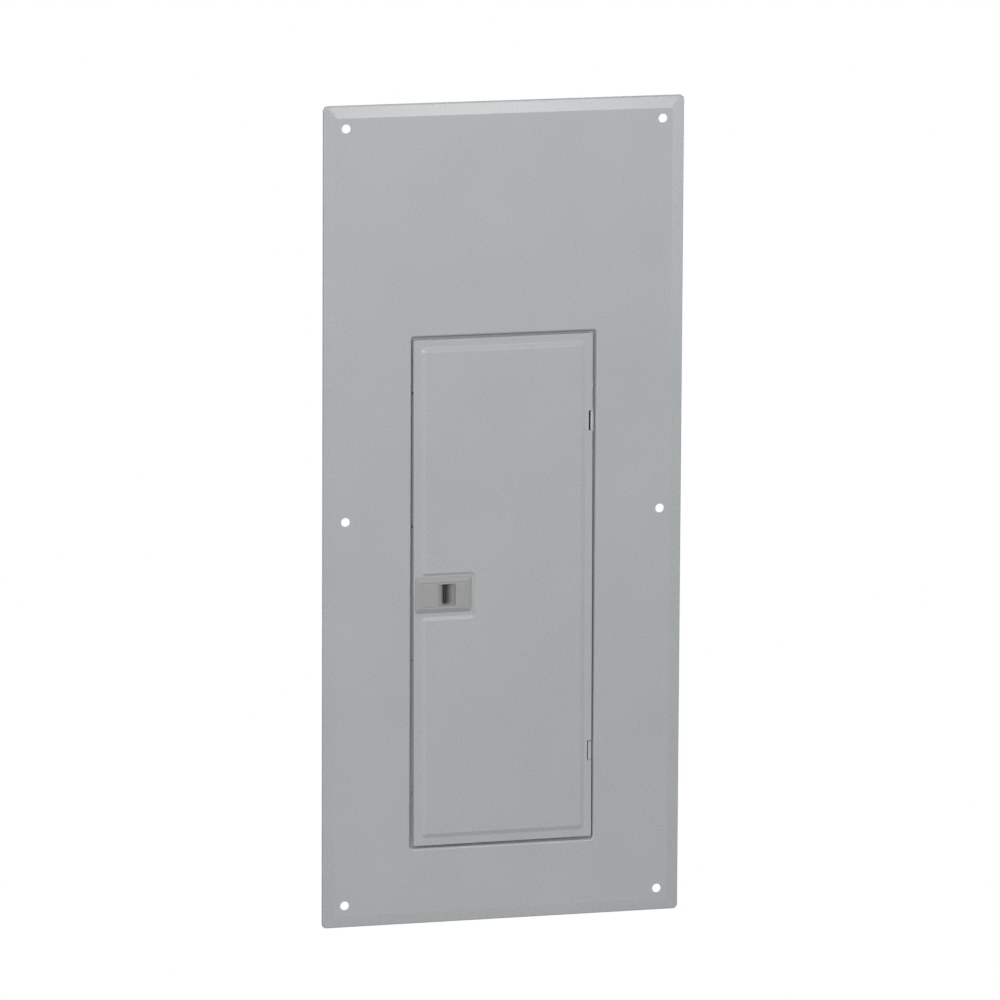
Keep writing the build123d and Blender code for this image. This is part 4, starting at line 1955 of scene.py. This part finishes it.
@dataclass
class DirectoryCard:
    """The circuit directory on the back of the door: a ruled card with plain numbers."""

    rows: int = 20
    margin: float = 8.0
    number_column: float = 10.0
    line_width: float = 0.3
    line_height: float = 0.02
    numeral_height: float = 3.4

    def build(self, paints: Paintbox) -> None:
        """Rule and number the card.

        Args:
            paints: the finishes.
        """
        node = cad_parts["directory_label"]
        node.data.materials.clear()
        node.data.materials.append(paints.card)
        card = Box.of("directory_label")
        left, right = card.low.x + self.margin, card.high.x - self.margin
        bottom, top = card.low.z + self.margin, card.high.z - self.margin
        pitch = (top - bottom) / self.rows
        depth = card.high.y + self.line_height / 2
        middle_x, middle_z = (left + right) / 2, (top + bottom) / 2
        line, raised = self.line_width, self.line_height
        bars = [
            (Vector((middle_x, depth, top - row * pitch)), Vector((right - left, raised, line)))
            for row in range(self.rows + 1)
        ]
        for x in (left, left + self.number_column, middle_x, right - self.number_column, right):
            bars.append((Vector((x, depth, middle_z)), Vector((line, raised, top - bottom + line))))
        rules = Ruling().build("directory_rules", bars, paints.ink)
        dress_piece(rules, paints.ink, Body.DOOR, Slot.CARD)
        entries = {}
        for row in range(self.rows):
            height = top - (row + 0.5) * pitch
            entries[2 * row + 1] = (right - self.number_column / 2, height)
            entries[2 * row + 2] = (left + self.number_column / 2, height)
        numerals = Numerals(self.numeral_height)
        figures = numerals.build("directory_figures", entries, card.high.y, Facing.WALL)
        dress_piece(figures, paints.ink, Body.DOOR, Slot.CARD)


# ---------------------------------------------------------------- stage
def direction(azimuth: float, elevation: float) -> Vector:
    """Return the unit vector from the cover toward a place given in degrees."""
    across, up = math.radians(azimuth), math.radians(elevation)
    return Vector(
        (math.sin(across) * math.cos(up), -math.cos(across) * math.cos(up), math.sin(up))
    )


@dataclass(frozen=True)
class Lamp:
    """A square soft box of the studio, which faces the middle of the cover."""

    name: str
    azimuth: float
    elevation: float
    power: float
    size: float = 0.8
    distance: float = 2.2

    def build(self) -> None:
        """Hang the lamp."""
        data = bpy.data.lights.new(self.name, "AREA")
        data.shape = "SQUARE"
        data.size = self.size
        data.energy = self.power
        lamp = linked_object(self.name, data)
        place = direction(self.azimuth, self.elevation) * self.distance
        lamp.location = place
        lamp.rotation_mode = "QUATERNION"
        lamp.rotation_quaternion = (-place).to_track_quat("-Z", "Y")


LAMPS = (
    Lamp("front_left_box", -30.0, 12.0, power=20.0),
    Lamp("overhead_left_box", -15.0, 40.0, power=5.0),
    Lamp("overhead_box", 0.0, 70.0, power=14.0, size=1.2),
    Lamp("low_left_box", -45.0, -20.0, power=3.0),
    Lamp("low_right_bounce", 15.0, -45.0, power=8.0, size=1.0, distance=2.0),
    Lamp("right_side_box", 75.0, 10.0, power=7.0, size=1.0),
    Lamp("right_upper_strip", 15.0, 20.0, power=8.0, size=0.4),
    Lamp("far_right_strip", 35.0, 5.0, power=4.0, size=0.4),
    Lamp("back_left_box", -140.0, 25.0, power=26.0, size=1.2, distance=2.4),
    Lamp("back_right_box", 140.0, 15.0, power=20.0, size=1.2, distance=2.4),
)


@dataclass
class Studio:
    """A plain pale studio with soft light, and the camera."""

    floor_height: float = -1.3
    floor_size: float = 3.0
    floor_colour: str = "#E6E6E4"
    floor_roughness: float = 0.9
    azimuth: float = -15.452
    elevation: float = 10.596
    roll: float = 0.299
    distance: float = 9.4694
    shift_right: float = 0.00358
    shift_up: float = -0.0141
    lens: float = 324.0
    sensor: float = 36.0
    farthest: float = 100.0

    def build(self) -> None:
        """Lay the floor, light the scene and set the camera."""
        self.lay_floor()
        self.light_world()
        for lamp in LAMPS:
            lamp.build()
        self.set_camera()

    def lay_floor(self) -> None:
        """Lay a plain pale floor below the cover."""
        half = self.floor_size / 2
        corners = [(-half, -half), (half, -half), (half, half), (-half, half)]
        data = bpy.data.meshes.new("studio_floor")
        data.from_pydata([(x, y, self.floor_height) for x, y in corners], [], [(0, 1, 2, 3)])
        paint = Finish("pale_floor", self.floor_colour, self.floor_roughness)
        data.materials.append(paint.build())
        linked_object("studio_floor", data)

    def light_world(self) -> None:
        """Put white behind the cover and in its gloss, and no light from all round."""
        world = bpy.data.worlds.new("studio_world")
        bpy.context.scene.world = world
        world.use_nodes = True
        tree = world.node_tree
        tree.nodes.clear()
        rays = add_node(tree, "ShaderNodeLightPath").outputs
        white = rays["Is Camera Ray"]
        for ray in ("Is Glossy Ray", "Is Transmission Ray"):
            white = add_node(tree, MATHS, {"operation": "MAXIMUM"}, {0: white, 1: rays[ray]})
        light = {"Color": linear("#FFFFFF"), "Strength": white}
        sky = add_node(tree, "ShaderNodeBackground", inputs=light)
        add_node(tree, "ShaderNodeOutputWorld", inputs={"Surface": sky})

    def set_camera(self) -> None:
        """Set the camera in front of the cover, above it and to its left."""
        roll = math.radians(self.roll)
        back = direction(self.azimuth, self.elevation)
        level = (-back).cross(Vector((0.0, 0.0, 1.0))).normalized()
        upright = back.cross(level)
        right = level * math.cos(roll) + upright * math.sin(roll)
        up = upright * math.cos(roll) - level * math.sin(roll)
        data = bpy.data.cameras.new("studio_camera")
        data.lens = self.lens
        data.sensor_width = self.sensor
        data.clip_end = self.farthest
        camera = linked_object("studio_camera", data)
        place = back * self.distance - right * self.shift_right - up * self.shift_up
        turn = Matrix((right, up, back)).transposed().to_4x4()
        camera.matrix_world = Matrix.Translation(place) @ turn
        bpy.context.scene.camera = camera


def main() -> None:
    """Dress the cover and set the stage."""
    logging.basicConfig(level=logging.INFO, format="%(name)s: %(message)s")
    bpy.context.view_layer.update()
    bpy.context.scene.view_settings.view_transform = "Standard"
    paints = Paintbox()
    dress_piece(
        CoverPressing().build(), paints.enamel, Body.COVER, Slot.ENAMEL, "cover_panel"
    )
    dress_piece(DoorPressing().build(), paints.enamel, Body.DOOR, Slot.ENAMEL, "door_panel")
    HingeSet().build(paints)
    LatchAssembly().build(paints)
    DeadFront().build(paints)
    DirectoryCard().build(paints)
    Studio().build()


if __name__ == "__main__":
    main()
